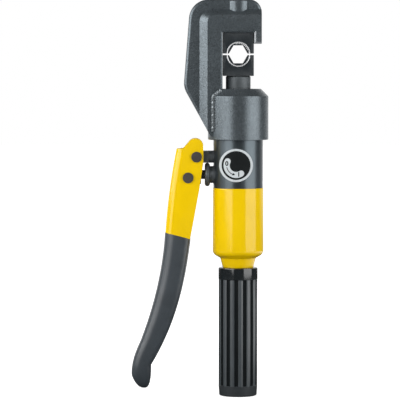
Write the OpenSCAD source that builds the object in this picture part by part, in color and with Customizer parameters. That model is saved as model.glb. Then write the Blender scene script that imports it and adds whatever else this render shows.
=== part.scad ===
// Hand-operated hydraulic crimping tool, millimetres.
// The origin is the centre of the grip's end face. +Z runs along the tool to the head,
// -Y is the front with the label, the lever is on -X and the die mouth opens to +X.
// At rest the dies are almost closed and the lever is close to the grip.

/* [Grip] */
// Length of the grip, from its end face to its top face
grip_len = 104; // [95:0.5:120]
// Radius of the grip over its lands
grip_r = 15.8; // [15:0.1:17]
// Wall of the rubber grip sleeve
grip_wall = 3.3; // [2.6:0.1:3.6]
// Number of flutes around the grip
flute_count = 14; // [10:1:16]
// Width of one flute at the surface
flute_w = 3.1; // [2:0.1:3.6]
// Depth of one flute
flute_depth = 1.3; // [0.8:0.1:1.5]
// Height of the plain band at the top of the grip
band_top = 9.6; // [6:0.1:14]
// Height of the plain band at the foot of the grip
band_foot = 8.5; // [6:0.1:14]
// Inward taper of the foot band at its lower edge
band_taper = 0.6; // [0.2:0.1:1]
// Turn of the grip that opens the release valve, degrees
release_turn = 150; // [90:5:180]
// Thread pitch of the release stem
stem_pitch = 1.25; // [0.8:0.05:1.5]

/* [Barrel] */
// Running gap between the grip and the barrel's neck
neck_gap = 0.2; // [0.1:0.05:0.4]
// Height of the barrel's drawn-in neck
neck_h = 13.8; // [13:0.1:18]
// Radius of the neck where it meets the grip
neck_r = 13.2; // [12.8:0.1:14]
// Radius of the barrel
barrel_r = 20.5; // [19.5:0.1:22]
// Height of the barrel's straight wall
barrel_h = 50.5; // [48:0.5:65]
// Wall of the barrel at its thread
barrel_wall = 2.5; // [2:0.1:2.8]

/* [Pump] */
// Radius of the pump body
pump_r = 20; // [19.2:0.1:20.4]
// Height of the pump body that shows between the barrel and the head
pump_h = 38.9; // [38:0.1:48]
// Radius of the pump plunger
plunger_r = 3.65; // [3:0.05:4]
// Radius of the gland nut's flange
gland_r = 9.5; // [8.5:0.1:9.6]
// Thickness of the gland nut's flange
gland_t = 4.2; // [3:0.1:4.4]
// Radius of the round label
label_r = 13.6; // [8:0.1:15]
// Thickness of the label
label_t = 0.4; // [0.2:0.1:1]

/* [Head] */
// Radius of the cylinder collar at the foot of the head
collar_r = 24.4; // [23:0.1:27]
// Height of the cylinder collar
collar_h = 40.9; // [40:0.1:48]
// Chamfer at the top of the collar
collar_chamfer = 6; // [3:0.1:6.2]
// Radius of the hydraulic cylinder
bore_r = 17; // [16:0.1:18]
// Thickness of the head's outer flange
flange_t = 18; // [16:0.1:20]
// Thickness of the raised pad around the throat
pad_t = 28; // [26:0.1:32]
// Rounding of the flange's outer edge
flange_edge = 2.4; // [1:0.1:3]
// Reach of the head's column to the left of the axis
column_reach = 43.7; // [42:0.1:48]
// Width of the sloped strip between the flange and the pad
strip_w = 6.4; // [3:0.1:8]
// Height of the upper jaw above its die
jaw_h = 26.6; // [26:0.1:32]
// Thickness of the lip beside the upper die
lip_t = 6; // [4:0.1:8]
// Depth of the lip below the upper die's seat
lip_drop = 8.1; // [4:0.1:12]
// Radius of the boss over the upper die's stem
boss_r = 11.3; // [10:0.1:12.5]

/* [Ram and dies] */
// Length of ram that shows above the collar at rest
ram_out = 10.4; // [10.3:0.1:12]
// Radius of the ram's rod
ram_r = 10; // [9:0.1:11]
// Travel of the ram back from its rest place
ram_back = 10; // [8:0.1:10.1]
// Height of the piston
piston_h = 7; // [6:0.1:8]
// Width of a die
die_w = 24.8; // [22:0.1:26]
// Depth of a die, front to back
die_d = 22; // [18:0.1:24]
// Height of a die
die_h = 16.8; // [14:0.1:20]
// Gap between the dies at rest
die_gap = 1.2; // [0.6:0.1:2]
// Crimp hexagon, across its flats
hex_flats = 13.2; // [6:0.1:14]
// Depth of the round recess in a die's face
die_recess = 0.9; // [0.4:0.1:1.5]
// Radius of a die's stem
stem_r = 5; // [4:0.1:5.5]

/* [Lever] */
// Distance from the pump body's surface out to the fulcrum pin
fulcrum_out = 13.5; // [13:0.1:15]
// Distance of the fulcrum pin below the head
fulcrum_drop = 13.8; // [13.5:0.1:14]
// Height of the fulcrum lug's eye
lug_h = 9.6; // [8.8:0.1:9.8]
// Distance between the fulcrum pin and the plunger pin
lever_arm = 18.1; // [17.8:0.1:18.4]
// Lean of the line between the two pins at rest, degrees
lever_lean = 22.3; // [21:0.1:24]
// Swing of the lever towards the grip, degrees
lever_close = 8.5; // [4:0.5:8.5]
// Swing of the lever away from the grip, degrees
lever_open = 30; // [15:1:30]
// Radius of the fulcrum pin
fulcrum_pin_r = 3.5; // [2.8:0.1:3.6]
// Radius of the plunger pin
plunger_pin_r = 3; // [2.5:0.1:3.2]
// Radius of the pins' heads
pin_head_r = 4.3; // [3.9:0.1:5]
// Width of the lever channel over its cheeks
channel_w = 22; // [21:0.1:25]
// Sheet thickness of the lever channel
sheet_t = 2.5; // [2:0.1:2.8]
// Outer bend radius between the channel's web and cheeks
bend_r = 4; // [3:0.1:5]
// Height over which the lever sleeve curves outwards
sleeve_len = 109.2; // [100:0.2:125]
// Outward sweep of the lever sleeve
sleeve_sweep = 28.3; // [22:0.1:34]
// Width of the lever sleeve at its top
sleeve_w = 21.4; // [21:0.1:24]
// Depth of the lever sleeve, front to back
sleeve_d = 24; // [22:0.1:28]

/* [Hidden] */
$fn = 96;

// Clearances: seated pieces, running fits and free gaps
fit = 0.02;
run = 0.05;
free = 0.3;
// Overshoot of a cut past the face that it opens
past = 1;

// Levels along the tool's axis, from the grip's end face up
neck_z = grip_len + neck_gap;
barrel_z = neck_z + neck_h;
pump_z = barrel_z + barrel_h;
head_z = pump_z + pump_h;
collar_top = head_z + collar_h;
ram_top = collar_top + ram_out;
upper_die_z = ram_top + die_h + die_gap;
jaw_z = upper_die_z + die_h;
head_top = jaw_z + jaw_h;

// Grip: core tube in the rubber sleeve, running on the barrel's spigot
sleeve_floor = 3;
foot_chamfer = 1;
top_chamfer = 0.5;
core_r = grip_r - grip_wall;
core_land = 2.5;
spigot_r = core_r - core_land;
spigot_len = 20;
spigot_z = neck_z - spigot_len;
core_wall = 1.2;
circlip_t = 1.1;
circlip_in = 1.2;
circlip_gap = 0.25;
circlip_z = spigot_z + circlip_in;
circlip_r = spigot_r + 1;
circlip_groove = 1;
core_land_z = circlip_z + circlip_t + circlip_gap;
disc_drop = 20.2;
disc_z = spigot_z - disc_drop;
disc_h = 8;
drive_side = 5.6;
drive_play = 0.1;
drive_wall = 1;
drive_over = 4;
stem_travel = stem_pitch * release_turn / 360;
drive_screw_r = 2;
// Angle of the first flute from the front, so that a land faces the front right
flute_turn = -5.9;

// Release stem, its tube and its needle seat in the pump body
stem_rod_r = 4;
needle_tip_r = 0.8;
needle_h = 3.7;
tube_in = stem_rod_r + free;
tube_out = tube_in + 2;
pump_spigot_h = 12.5;
pump_foot = pump_z - pump_spigot_h;
tube_seat = 3;
needle_rise = 11.5;
needle_z = pump_foot + needle_rise;
needle_top = needle_z + needle_h;
stem_seal_h = 1.6;
stem_seal_r = 5.5;
release_rise = 1.8;
release_z = needle_top + release_rise;
release_passage_r = 1.2;

// Barrel cavity and bladder
barrel_in = barrel_r - barrel_wall;
bladder_lip = 2;
bladder_step = 1.5;
bladder_r = barrel_in - bladder_step;
bladder_wall = 1.5;
barrel_floor = 3;
floor_z = barrel_z + barrel_floor;
neck_room = 6;
bladder_neck = pump_foot - floor_z - neck_room;
clip_h = 3;
barrel_seal_h = 2;
seal_depth = 1.5;
shoulder_r = 7;
neck_fillet = 4.5;
neck_rise = 2.3;
clip_w = 1.2;
neck_slope = 45;

// Pump: plunger bore, valve column behind the axis, riser and relief valve beside it
gland_gap = 0.2;
fulcrum_z = head_z - fulcrum_drop;
plunger_z = fulcrum_z - lug_h / 2 - gland_gap - gland_r;
fulcrum_x = -pump_r - fulcrum_out;
chamber_end = 1.5;
plunger_rest = 3.5;
plunger_tip = chamber_end - plunger_rest;
gland_stand = 2.8;
gland_face = -pump_r - gland_stand;
gland_shank_r = 7.15;
gland_sink = 5.5;
gland_foot = -pump_r + gland_sink;
plunger_seal_w = 3;
plunger_seal_r = 6;
column_y = 9;
column_r = 3.5;
valve_hole_r = 1.5;
ball_r = 2.5;
ball_lift = 0.03;
ball_seat = sqrt(ball_r * ball_r - valve_hole_r * valve_hole_r) + ball_lift;
inlet_rise = 4;
inlet_z = pump_foot + inlet_rise;
outlet_rise = 3;
outlet_seat_z = plunger_z + outlet_rise;
outlet_seat_h = 7;
outlet_z = outlet_seat_z + outlet_seat_h;
head_spigot_h = 10;
spigot_step = 2;
head_spigot_r = bore_r + spigot_step;
cylinder_z = head_z + head_spigot_h;
outlet_plug_h = 9;
outlet_plug_sink = 3;
outlet_plug_z = cylinder_z - outlet_plug_sink - outlet_plug_h;
riser_x = 10;
relief_r = 3;
relief_ball_r = 2.2;
relief_rise = 11;
relief_z = pump_foot + relief_rise;
relief_seat = sqrt(relief_ball_r * relief_ball_r - valve_hole_r * valve_hole_r) + ball_lift;
relief_screw_h = 3.5;
plug_r = 2.5;
plug_sink = 0.6;
plug_in = 1.9;
plug_foot = column_y + column_r + plug_in;
plug_len = pump_r - plug_sink - plug_foot;
filter_r = 2.3;
filter_h = 2;
return_y = 11;
return_lean = 37;
return_len = 14;
ridge_w = 0.6;
ridge_pitch = 1.1;
ridge_depth = 0.4;
ridge_out = 0.5;
valve_coil_r = 1.8;
valve_wire_r = 0.35;
relief_coil_r = 1.5;
relief_wire_r = 0.4;
relief_hole_r = 0.9;
relief_turns = 2.5;
inlet_turns = 7;
outlet_turns = 5;
filter_wall = 0.8;
head_seal_h = 2.4;
label_x = -1.6;
label_drop = 20.7;
label_z = head_z - label_drop;
lug_w = 10;
lug_collar_r = 5;
lug_collar_len = 5;
lug_stand = 3.5;
lug_collar_x = -pump_r - lug_stand;
lug_shank_r = 3.5;
lug_shank_len = 8;

// Cylinder and ram
cylinder_gap = 0.3;
rod_wall = 5;
cylinder_top = collar_top - rod_wall;
piston_z = cylinder_z + cylinder_gap + ram_back;
piston_seal_h = 3;
piston_seal_depth = 3;
wiper_h = 3;
wiper_w = 3;
ram_chamfer = 0.8;
stem_len = 8;
die_ring_h = 1.6;
die_ring_depth = 1;
recess_out = 2.3;
recess_in = 1.4;
seal_foot = 2;
return_wire_r = 1;
return_turns = 2.5;

// Head outline
throat_x = -die_w / 2 - free;
lip_gap = 0.3;
lip_in = die_w / 2 + lip_gap;
jaw_right = lip_in + lip_t;
corner_r = 10;
crown_r = 16;
crown_in = 20;
crown_x = -column_reach + crown_in;
bend_rise = 4.7;
bend_z = collar_top + bend_rise;
column_lean = 4.5;
column_slope = 28.5;
foot_in = 2;
foot_x = -collar_r + foot_in;
foot_rise = 3;
foot_z = head_z + foot_rise;
pad_in = 18.9;
pad_left = -column_reach + pad_in;
pad_drop = 12.3;
pad_corner = 6;
strip_h = 4.4;
boss_chamfer = 1.5;
upper_stem_len = 12;
set_screw_low = 5;
set_screw_z = jaw_z + upper_stem_len - set_screw_low;
set_screw_r = 3;
set_screw_tip_r = 1.9;
set_screw_sink = 0.5;
set_screw_y = pad_t / 2 - set_screw_sink;
tip_out = 0.5;
set_screw_len = set_screw_y - stem_r - tip_out;
stem_groove = 1;
socket_share = 0.58;

// Lever, about the fulcrum pin. Its plunger pin swings in an upright slot of the plunger.
pin_x = fulcrum_x - lever_arm * sin(lever_lean);
pin_z = fulcrum_z - lever_arm * cos(lever_lean);
slot_low = fulcrum_z - lever_arm * cos(lever_lean - lever_close);
slot_high = fulcrum_z - lever_arm * cos(lever_lean + lever_open);
slot_play = 0.45;
slot_shift = 0.08;
eye_wall = 2.75;
eye_w = 12;
eye_h = 14.6;
eye_gap = 2.9;
eye_end = gland_face - gland_t - eye_gap;
channel_in = channel_w / 2 - sheet_t;
web_bow = 530;
web_lean = 7.6;
web_x = -21.9;
web_z = -27.2;
channel_depth = 27;
cheek_top_r = 6.5;
cheek_top = [-1.1, 8.3];
web_top = [-12.1, 6.7];
cheek_edge = [[5.4, -4], [2, -27.2], [-5.4, -67.2]];
sleeve_top = [-25.5, -59.6];
sleeve_tilt = 14.5;
sleeve_cut = [-25.1, -62.1];
sleeve_tip_w = 16.8;
sleeve_tip_h = 18.8;
sleeve_rings = 18;
tip_rings = 9;
sleeve_sides = 28;
sleeve_power = 2.8;
tail_inset = 2;
tail_w = 12;
tail_share = 0.94;
pin_head_t = 1.2;
pin_end = 2.2;
pin_clip_t = 1;
pin_clip_w = 1.4;
pin_clip_groove = 0.6;

// Points on an arc, and a cubic curve between points or stations
function arc(c, r, a0, a1, n = 12) =
    [for (i = [0:n]) let (a = a0 + (a1 - a0) * i / n) c + r * [cos(a), sin(a)]];
function curve(a, b, c, d, t) =
    pow(1 - t, 3) * a + 3 * t * pow(1 - t, 2) * b + 3 * t * t * (1 - t) * c + pow(t, 3) * d;

// Round bar along Z, X or Y between two places
module bar_z(r, z0, z1, x = 0, y = 0) translate([x, y, z0]) cylinder(r = r, h = z1 - z0);
module bar_x(r, x0, x1, z, y = 0) translate([x0, y, z]) rotate([0, 90, 0]) cylinder(r = r, h = x1 - x0);
module bar_y(r, y0, y1, z, x = 0) translate([x, y0, z]) rotate([-90, 0, 0]) cylinder(r = r, h = y1 - y0);

// Ring along Z
module ring(r_out, r_in, z0, z1, x = 0, y = 0) {
    translate([x, y, z0]) difference() {
        cylinder(r = r_out, h = z1 - z0);
        translate([0, 0, -past]) cylinder(r = r_in, h = z1 - z0 + 2 * past);
    }
}

// Plate of a given thickness, centred on Y, with its outline in X and Z
module plate(t) translate([0, t / 2, 0]) rotate([90, 0, 0]) linear_extrude(t) children();

// Closed skin over a list of rings with the same number of points
module skin(rings) {
    n = len(rings[0]);
    m = len(rings);
    points = [for (r = rings) for (p = r) p];
    sides = [for (j = [0:m - 2]) for (i = [0:n - 1]) let (k = (i + 1) % n)
        each [[j * n + i, j * n + k, j * n + n + i], [j * n + k, j * n + n + k, j * n + n + i]]];
    first = [[for (i = [0:n - 1]) n - 1 - i]];
    last = [[for (i = [0:n - 1]) (m - 1) * n + i]];
    polyhedron(points, concat(first, sides, last), convexity = 6);
}

// Compression spring along Z, one unbroken wire
module coil(mean_r, wire_r, z0, z1, turns) {
    per_turn = 8;
    wire_sides = 6;
    steps = turns * per_turn;
    rise = z1 - z0 - 2 * wire_r;
    skin([for (i = [0:steps]) let (a = 360 * i / per_turn)
        [for (k = [0:wire_sides - 1]) let (b = 360 * k / wire_sides, r = mean_r + wire_r * cos(b))
            [r * cos(a), r * sin(a), z0 + wire_r + rise * i / steps + wire_r * sin(b)]]]);
}

// Head outline: lip side, jaw corner, crown, leaning column and the slope down to the collar
head_points = concat(
    [[jaw_right, foot_z]],
    arc([jaw_right - corner_r, head_top - corner_r], corner_r, 0, 90, 8),
    arc([crown_x, head_top - crown_r], crown_r, 90, 180 - column_lean, 8),
    arc([crown_r - column_reach, bend_z], crown_r, 180 - column_lean, 180 + column_slope, 5),
    [[foot_x, foot_z]]);

// Flange of the head with its edge rounded in two steps
module head_flange() {
    hull() {
        plate(flange_t - 2 * flange_edge) polygon(head_points);
        plate(flange_t - 0.6 * flange_edge) offset(delta = -0.3 * flange_edge) polygon(head_points);
        plate(flange_t) offset(delta = -flange_edge) polygon(head_points);
    }
}

// Raised pad, with a sloped strip to the flange on its left and top
module pad_outline(grow_x, grow_z) {
    left = pad_left - grow_x;
    top = head_top - pad_drop + grow_z;
    r = pad_corner + min(grow_x, grow_z);
    polygon(concat([[jaw_right, foot_z], [jaw_right, top]],
        arc([left + r, top - r], r, 90, 180, 8), [[left, foot_z]]));
}

module head_pad() {
    intersection() {
        plate(pad_t + past) polygon(head_points);
        hull() {
            plate(pad_t) pad_outline(0, 0);
            plate(flange_t - past) pad_outline(strip_w, strip_h);
        }
    }
}

// C-shaped head in one casting with the hydraulic cylinder
module c_head() color("dimgray") difference() {
    union() {
        difference() {
            union() {
                head_flange();
                head_pad();
            }
            translate([throat_x, -pad_t, foot_z - past])
                cube([3 * die_w, 2 * pad_t, jaw_z - lip_drop - foot_z + past]);
            translate([throat_x, -pad_t, foot_z]) cube([lip_in - throat_x, 2 * pad_t, jaw_z - foot_z]);
        }
        bar_z(boss_r, jaw_z, head_top - boss_chamfer);
        translate([0, 0, head_top - boss_chamfer])
            cylinder(r1 = boss_r, r2 = boss_r - boss_chamfer, h = boss_chamfer);
        bar_z(collar_r, head_z, collar_top - collar_chamfer);
        translate([0, 0, collar_top - collar_chamfer])
            cylinder(r1 = collar_r, r2 = collar_r - collar_chamfer, h = collar_chamfer);
    }
    bar_z(head_spigot_r + fit, head_z - past, cylinder_z);
    bar_z(bore_r, cylinder_z - past, cylinder_top);
    bar_z(ram_r + run, cylinder_top - past, collar_top + past);
    bar_z(ram_r + wiper_w + fit, collar_top - wiper_h, collar_top + past);
    bar_z(stem_r + fit, jaw_z - past, jaw_z + upper_stem_len + fit);
    bar_y(set_screw_r + fit, 0, pad_t, set_screw_z);
}

// Half of the crimp hexagon opens at the die's face on the split plane
module die(z0, face) {
    hex_corner = hex_flats / 2 / cos(30);
    difference() {
        union() {
            translate([-die_w / 2, -die_d / 2, z0]) cube([die_w, die_d, die_h]);
            children();
        }
        plate(die_d + 2 * past) translate([0, face]) circle(r = hex_corner, $fn = 6);
        for (side = [-1, 1]) translate([0, side * die_d / 2, face]) rotate([side * 90, 0, 0])
            translate([0, 0, -fit])
                cylinder(r1 = hex_corner + recess_out, r2 = hex_corner + recess_in, h = die_recess);
    }
}

module upper_die() color("darkslategray") difference() {
    die(upper_die_z, upper_die_z) bar_z(stem_r, jaw_z - past, jaw_z + upper_stem_len);
    ring(stem_r + past, stem_r - stem_groove,
        set_screw_z - set_screw_tip_r - run, set_screw_z + set_screw_tip_r + run);
}

module lower_die() color("darkslategray") difference() {
    die(ram_top, ram_top + die_h) bar_z(stem_r, ram_top - stem_len, ram_top + past);
    ring(stem_r + past, stem_r - die_ring_depth, ram_top - stem_len / 2 - die_ring_h / 2 - fit,
        ram_top - stem_len / 2 + die_ring_h / 2 + fit);
}

// Rubber ring that holds the lower die's stem in the ram
module lower_die_ring() color("black") ring(stem_r - fit, stem_r - die_ring_depth + fit,
    ram_top - stem_len / 2 - die_ring_h / 2, ram_top - stem_len / 2 + die_ring_h / 2);

// Grub screw at the back of the head, with its tip in the upper die's groove
module die_set_screw() color("gray") difference() {
    union() {
        bar_y(set_screw_r, set_screw_y - set_screw_len, set_screw_y, set_screw_z);
        bar_y(set_screw_tip_r, stem_r - stem_groove + run, set_screw_y, set_screw_z);
    }
    translate([0, set_screw_y - set_screw_r, set_screw_z]) rotate([-90, 0, 0])
        cylinder(r = socket_share * set_screw_r, h = set_screw_r + past, $fn = 6);
}

module rod_wiper() color("black") ring(ram_r + wiper_w, ram_r + run, collar_top - wiper_h, collar_top);

module head_seal() color("black") ring(head_spigot_r, head_spigot_r - seal_depth + fit,
    cylinder_z - 2 * head_seal_h + fit, cylinder_z - head_seal_h - fit);

module return_spring() color("silver")
    coil((ram_r + bore_r) / 2, return_wire_r, piston_z + piston_h, cylinder_top, return_turns);

// Ram: piston, rod and the socket for the lower die's stem
module ram() color("slategray") difference() {
    union() {
        bar_z(bore_r - run, piston_z, piston_z + piston_h);
        bar_z(ram_r, piston_z, ram_top - ram_chamfer);
        translate([0, 0, ram_top - ram_chamfer])
            cylinder(r1 = ram_r, r2 = ram_r - ram_chamfer, h = ram_chamfer);
    }
    bar_z(stem_r + run, ram_top - stem_len - run, ram_top + past);
    ring(bore_r + past, bore_r - piston_seal_depth,
        piston_z + seal_foot - fit, piston_z + seal_foot + piston_seal_h + fit);
}

module piston_seal() color("black")
    ring(bore_r - run, bore_r - piston_seal_depth + fit,
        piston_z + seal_foot, piston_z + seal_foot + piston_seal_h);

// Pump body: spigots into the head and the barrel, plunger bore, valve column, riser,
// relief valve, release valve and the drilled passages between them
module pump_body() color("dimgray") difference() {
    union() {
        bar_z(pump_r, pump_z, head_z);
        bar_z(head_spigot_r, head_z - past, cylinder_z);
        bar_z(barrel_in - fit, pump_foot, pump_z + past);
    }
    // Ring grooves for the head seal and the barrel seal
    ring(head_spigot_r + past, head_spigot_r - seal_depth,
        cylinder_z - 2 * head_seal_h, cylinder_z - head_seal_h);
    ring(barrel_r, barrel_in - seal_depth, pump_z - 2 * barrel_seal_h, pump_z - barrel_seal_h);
    // Plunger bore, its seal pocket and the gland's thread
    bar_x(plunger_r + run, -pump_r, chamber_end, plunger_z);
    bar_x(plunger_seal_r, gland_foot - past, gland_foot + plunger_seal_w, plunger_z);
    bar_x(gland_shank_r + fit, -2 * pump_r, gland_foot, plunger_z);
    // Fulcrum lug's seat and thread
    bar_x(lug_collar_r + fit, -2 * pump_r, lug_collar_x + lug_collar_len, fulcrum_z);
    bar_x(lug_shank_r + fit, -pump_r, lug_collar_x + lug_collar_len + lug_shank_len, fulcrum_z);
    // Valve column with its inlet, and the passage to it from the plunger's chamber
    bar_z(valve_hole_r, pump_foot - past, inlet_z + past, 0, column_y);
    bar_z(column_r, inlet_z, cylinder_z + past, 0, column_y);
    bar_y(valve_hole_r, 0, pump_r, plunger_z);
    bar_y(plug_r + fit, plug_foot, 2 * pump_r, plunger_z);
    // Riser from the cylinder, with the relief valve at its foot
    bar_z(valve_hole_r, relief_z - past, cylinder_z + past, riser_x);
    bar_z(relief_r, pump_foot - past, relief_z, riser_x);
    // Release stem's thread, needle seat, cross passage and return passage
    bar_z(tube_out + fit, pump_foot - past, pump_foot + tube_seat);
    bar_z(stem_seal_r, pump_foot, pump_foot + tube_seat + stem_seal_h);
    bar_z(stem_rod_r + run, pump_foot, needle_z + run);
    translate([0, 0, needle_z + run])
        cylinder(r1 = stem_rod_r + run, r2 = needle_tip_r + run, h = needle_h);
    bar_z(needle_tip_r + run, needle_top, release_z);
    bar_x(release_passage_r, 0, pump_r, release_z);
    bar_x(plug_r + fit, plug_foot, 2 * pump_r, release_z);
    translate([0, -return_y, pump_foot - past]) rotate([-return_lean, 0, 0])
        cylinder(r = release_passage_r, h = return_len);
}

// Round label bent to the pump body
module label_plate() color("lightgray") intersection() {
    ring(pump_r + fit + label_t, pump_r + fit, pump_z, head_z);
    bar_y(label_r, -2 * pump_r, 0, label_z, label_x);
}

// Fulcrum lug: flat eye for the pin, seated collar and threaded shank
module fulcrum_lug() color("gray") difference() {
    union() {
        bar_y(lug_h / 2, -lug_w / 2, lug_w / 2, fulcrum_z, fulcrum_x);
        translate([fulcrum_x, -lug_w / 2, fulcrum_z - lug_h / 2])
            cube([lug_collar_x - fulcrum_x, lug_w, lug_h]);
        bar_x(lug_collar_r, lug_collar_x, lug_collar_x + lug_collar_len, fulcrum_z);
        bar_x(lug_shank_r, lug_collar_x, lug_collar_x + lug_collar_len + lug_shank_len, fulcrum_z);
    }
    bar_y(fulcrum_pin_r + run, -lug_w, lug_w, fulcrum_z, fulcrum_x);
}

// Gland nut with a rounded flange and a ridged shank
module gland_nut() color("dimgray") {
    rim = gland_t / 2;
    translate([gland_face - gland_t, 0, plunger_z]) rotate([0, 90, 0]) difference() {
        union() {
            rotate_extrude()
                polygon(concat([[0, 0]], arc([gland_r - rim, rim], rim, -90, 90), [[0, gland_t]]));
            cylinder(r = gland_shank_r, h = gland_foot - gland_face + gland_t - fit);
        }
        for (i = [0, 1]) translate([0, 0, gland_t + ridge_out + i * ridge_pitch])
            ring(gland_shank_r + past, gland_shank_r - ridge_depth, 0, ridge_w);
        translate([0, 0, -past]) cylinder(r = plunger_r + run, h = 2 * pump_r);
    }
}

module plunger_seal() color("black") translate([gland_foot + fit, 0, plunger_z]) rotate([0, 90, 0])
    ring(plunger_seal_r - fit, plunger_r + run, 0, plunger_seal_w - 2 * fit);

// Valve column pieces, from the inlet up
module inlet_ball() color("silver") translate([0, column_y, inlet_z + ball_seat]) sphere(r = ball_r);

module inlet_spring() color("silver") translate([0, column_y, 0])
    coil(valve_coil_r, valve_wire_r, inlet_z + ball_seat + ball_r, outlet_seat_z, inlet_turns);

module outlet_seat() color("goldenrod")
    ring(column_r - fit, valve_hole_r, outlet_seat_z, outlet_z, 0, column_y);

module outlet_ball() color("silver") translate([0, column_y, outlet_z + ball_seat]) sphere(r = ball_r);

module outlet_spring() color("silver") translate([0, column_y, 0])
    coil(valve_coil_r, valve_wire_r, outlet_z + ball_seat + ball_r, outlet_plug_z, outlet_turns);

module outlet_plug() color("goldenrod")
    ring(column_r - fit, valve_hole_r, outlet_plug_z, outlet_plug_z + outlet_plug_h, 0, column_y);

// Relief valve pieces, from the riser's foot down
module relief_ball() color("silver")
    translate([riser_x, 0, relief_z - relief_seat]) sphere(r = relief_ball_r);

module relief_spring() color("silver") translate([riser_x, 0, 0])
    coil(relief_coil_r, relief_wire_r,
        pump_foot + relief_screw_h, relief_z - relief_seat - relief_ball_r, relief_turns);

module relief_screw() color("goldenrod")
    ring(relief_r - fit, relief_hole_r, pump_foot, pump_foot + relief_screw_h, riser_x);

// Two grub screws that close the drilled passages
module passage_plugs() color("gray") {
    socket_r = socket_share * plug_r;
    for (turn = [0, 90]) rotate([0, 0, turn])
        translate([plug_foot, 0, turn == 0 ? release_z : plunger_z]) rotate([0, 90, 0])
            difference() {
                cylinder(r = plug_r, h = plug_len);
                translate([0, 0, plug_len - plug_r]) cylinder(r = socket_r, h = plug_r + past, $fn = 6);
            }
}

module stem_seal() color("black") ring(stem_seal_r - fit, stem_rod_r + run,
    pump_foot + tube_seat + fit, pump_foot + tube_seat + stem_seal_h - fit);

module suction_filter() color("goldenrod")
    ring(filter_r, filter_r - filter_wall, pump_foot - filter_h, pump_foot, 0, column_y);

// Barrel: straight wall, drawn-in neck, spigot for the grip and the reservoir's cavity
module reservoir_barrel() color("gold") difference() {
    union() {
        rotate_extrude() polygon(concat([[0, neck_z], [neck_r, neck_z]],
            arc([neck_r + neck_fillet, neck_z + neck_rise], neck_fillet, 180, 180 - neck_slope, 8),
            arc([barrel_r - shoulder_r, barrel_z], shoulder_r, -neck_slope, 0, 8),
            [[barrel_r, pump_z], [0, pump_z]]));
        bar_z(spigot_r, spigot_z, neck_z + past);
    }
    bar_z(bladder_r, floor_z, pump_z);
    bar_z(barrel_in, pump_foot - bladder_lip, pump_z + past);
    bar_z(tube_out + fit, floor_z - tube_seat, floor_z + past);
    bar_z(tube_in, spigot_z - past, floor_z);
    ring(spigot_r + past, spigot_r - circlip_groove, circlip_z - fit, circlip_z + circlip_t + fit);
}

module barrel_seal() color("black") ring(barrel_in - fit, barrel_in - seal_depth + fit,
    pump_z - 2 * barrel_seal_h + fit, pump_z - barrel_seal_h - fit);

// Tube that keeps the oil away from the release stem
module stem_tube() color("silver") ring(tube_out, tube_in, floor_z - tube_seat, pump_foot + tube_seat);

// Rubber bladder around the stem tube, its lip clamped under the pump body
module oil_bladder() color("saddlebrown") {
    tube_fit = tube_out + fit;
    rotate_extrude() polygon([[tube_fit, floor_z], [bladder_r - fit, floor_z],
        [bladder_r - fit, pump_foot - bladder_lip], [barrel_in - fit, pump_foot - bladder_lip],
        [barrel_in - fit, pump_foot], [bladder_r - bladder_wall, pump_foot],
        [bladder_r - bladder_wall, floor_z + bladder_wall], [tube_fit + bladder_wall, floor_z + bladder_wall],
        [tube_fit + bladder_wall, floor_z + bladder_neck], [tube_fit, floor_z + bladder_neck]]);
}

// Wire clip that holds the bladder's neck on the tube
module bladder_clip() color("silver") {
    neck_out = tube_out + fit + bladder_wall;
    ring(neck_out + clip_w, neck_out + fit,
        floor_z + bladder_neck - 2 * clip_h, floor_z + bladder_neck - clip_h);
}

module grip_circlip() color("silver")
    ring(circlip_r, spigot_r - circlip_groove + fit, circlip_z, circlip_z + circlip_t);

// Side edges, width and depth of the lever sleeve as stations [z, left, right, half depth]
sleeve_a = [sleeve_top[1], sleeve_top[0], sleeve_top[0] + sleeve_w, sleeve_d / 2];
sleeve_b = sleeve_a + [-sleeve_len / 3, -0.07 * sleeve_sweep, -0.145 * sleeve_sweep, 0];
sleeve_c = sleeve_a + [-2 * sleeve_len / 3, -0.413 * sleeve_sweep, -0.378 * sleeve_sweep, 0];
sleeve_d3 = [sleeve_a[0] - sleeve_len, sleeve_a[1] - sleeve_sweep,
    sleeve_a[1] - sleeve_sweep + sleeve_tip_w, sleeve_d / 2 - 1.8];
tip_b = sleeve_d3 + [-0.39 * sleeve_tip_h, -0.7, 0.1, 0];
tip_c = sleeve_d3 + [-sleeve_tip_h, 4.3, -0.1, -3];
tip_d = sleeve_d3 + [-sleeve_tip_h, 10.3, -4.9, -8];

function sleeve_station(t) = curve(sleeve_a, sleeve_b, sleeve_c, sleeve_d3, t);
function sleeve_ring(s) = [for (i = [0:sleeve_sides - 1])
    let (a = -360 * i / sleeve_sides, e = 2 / sleeve_power)
    [(s[1] + s[2]) / 2 + (s[2] - s[1]) / 2 * sign(cos(a)) * pow(abs(cos(a)), e),
        s[3] * sign(sin(a)) * pow(abs(sin(a)), e), s[0]]];

// Flat tongue of the lever inside its sleeve
module lever_tail(grow) {
    steps = 12;
    stations = [for (i = [0:steps]) sleeve_station(tail_share * i / steps)];
    left = [for (s = stations) [s[1] + tail_inset - grow, s[0]]];
    right = [for (i = [steps:-1:0]) [stations[i][2] - tail_inset + grow, stations[i][0]]];
    plate(tail_w + 2 * grow) polygon(concat(left, right));
}

// Space above the slanted joint of the channel and the sleeve
module above_sleeve() translate([sleeve_cut[0], 0, sleeve_cut[1]]) rotate([0, sleeve_tilt, 0])
    translate([-sleeve_len, -channel_w, 0]) cube([2 * sleeve_len, 2 * channel_w, 2 * sleeve_len]);

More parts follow.
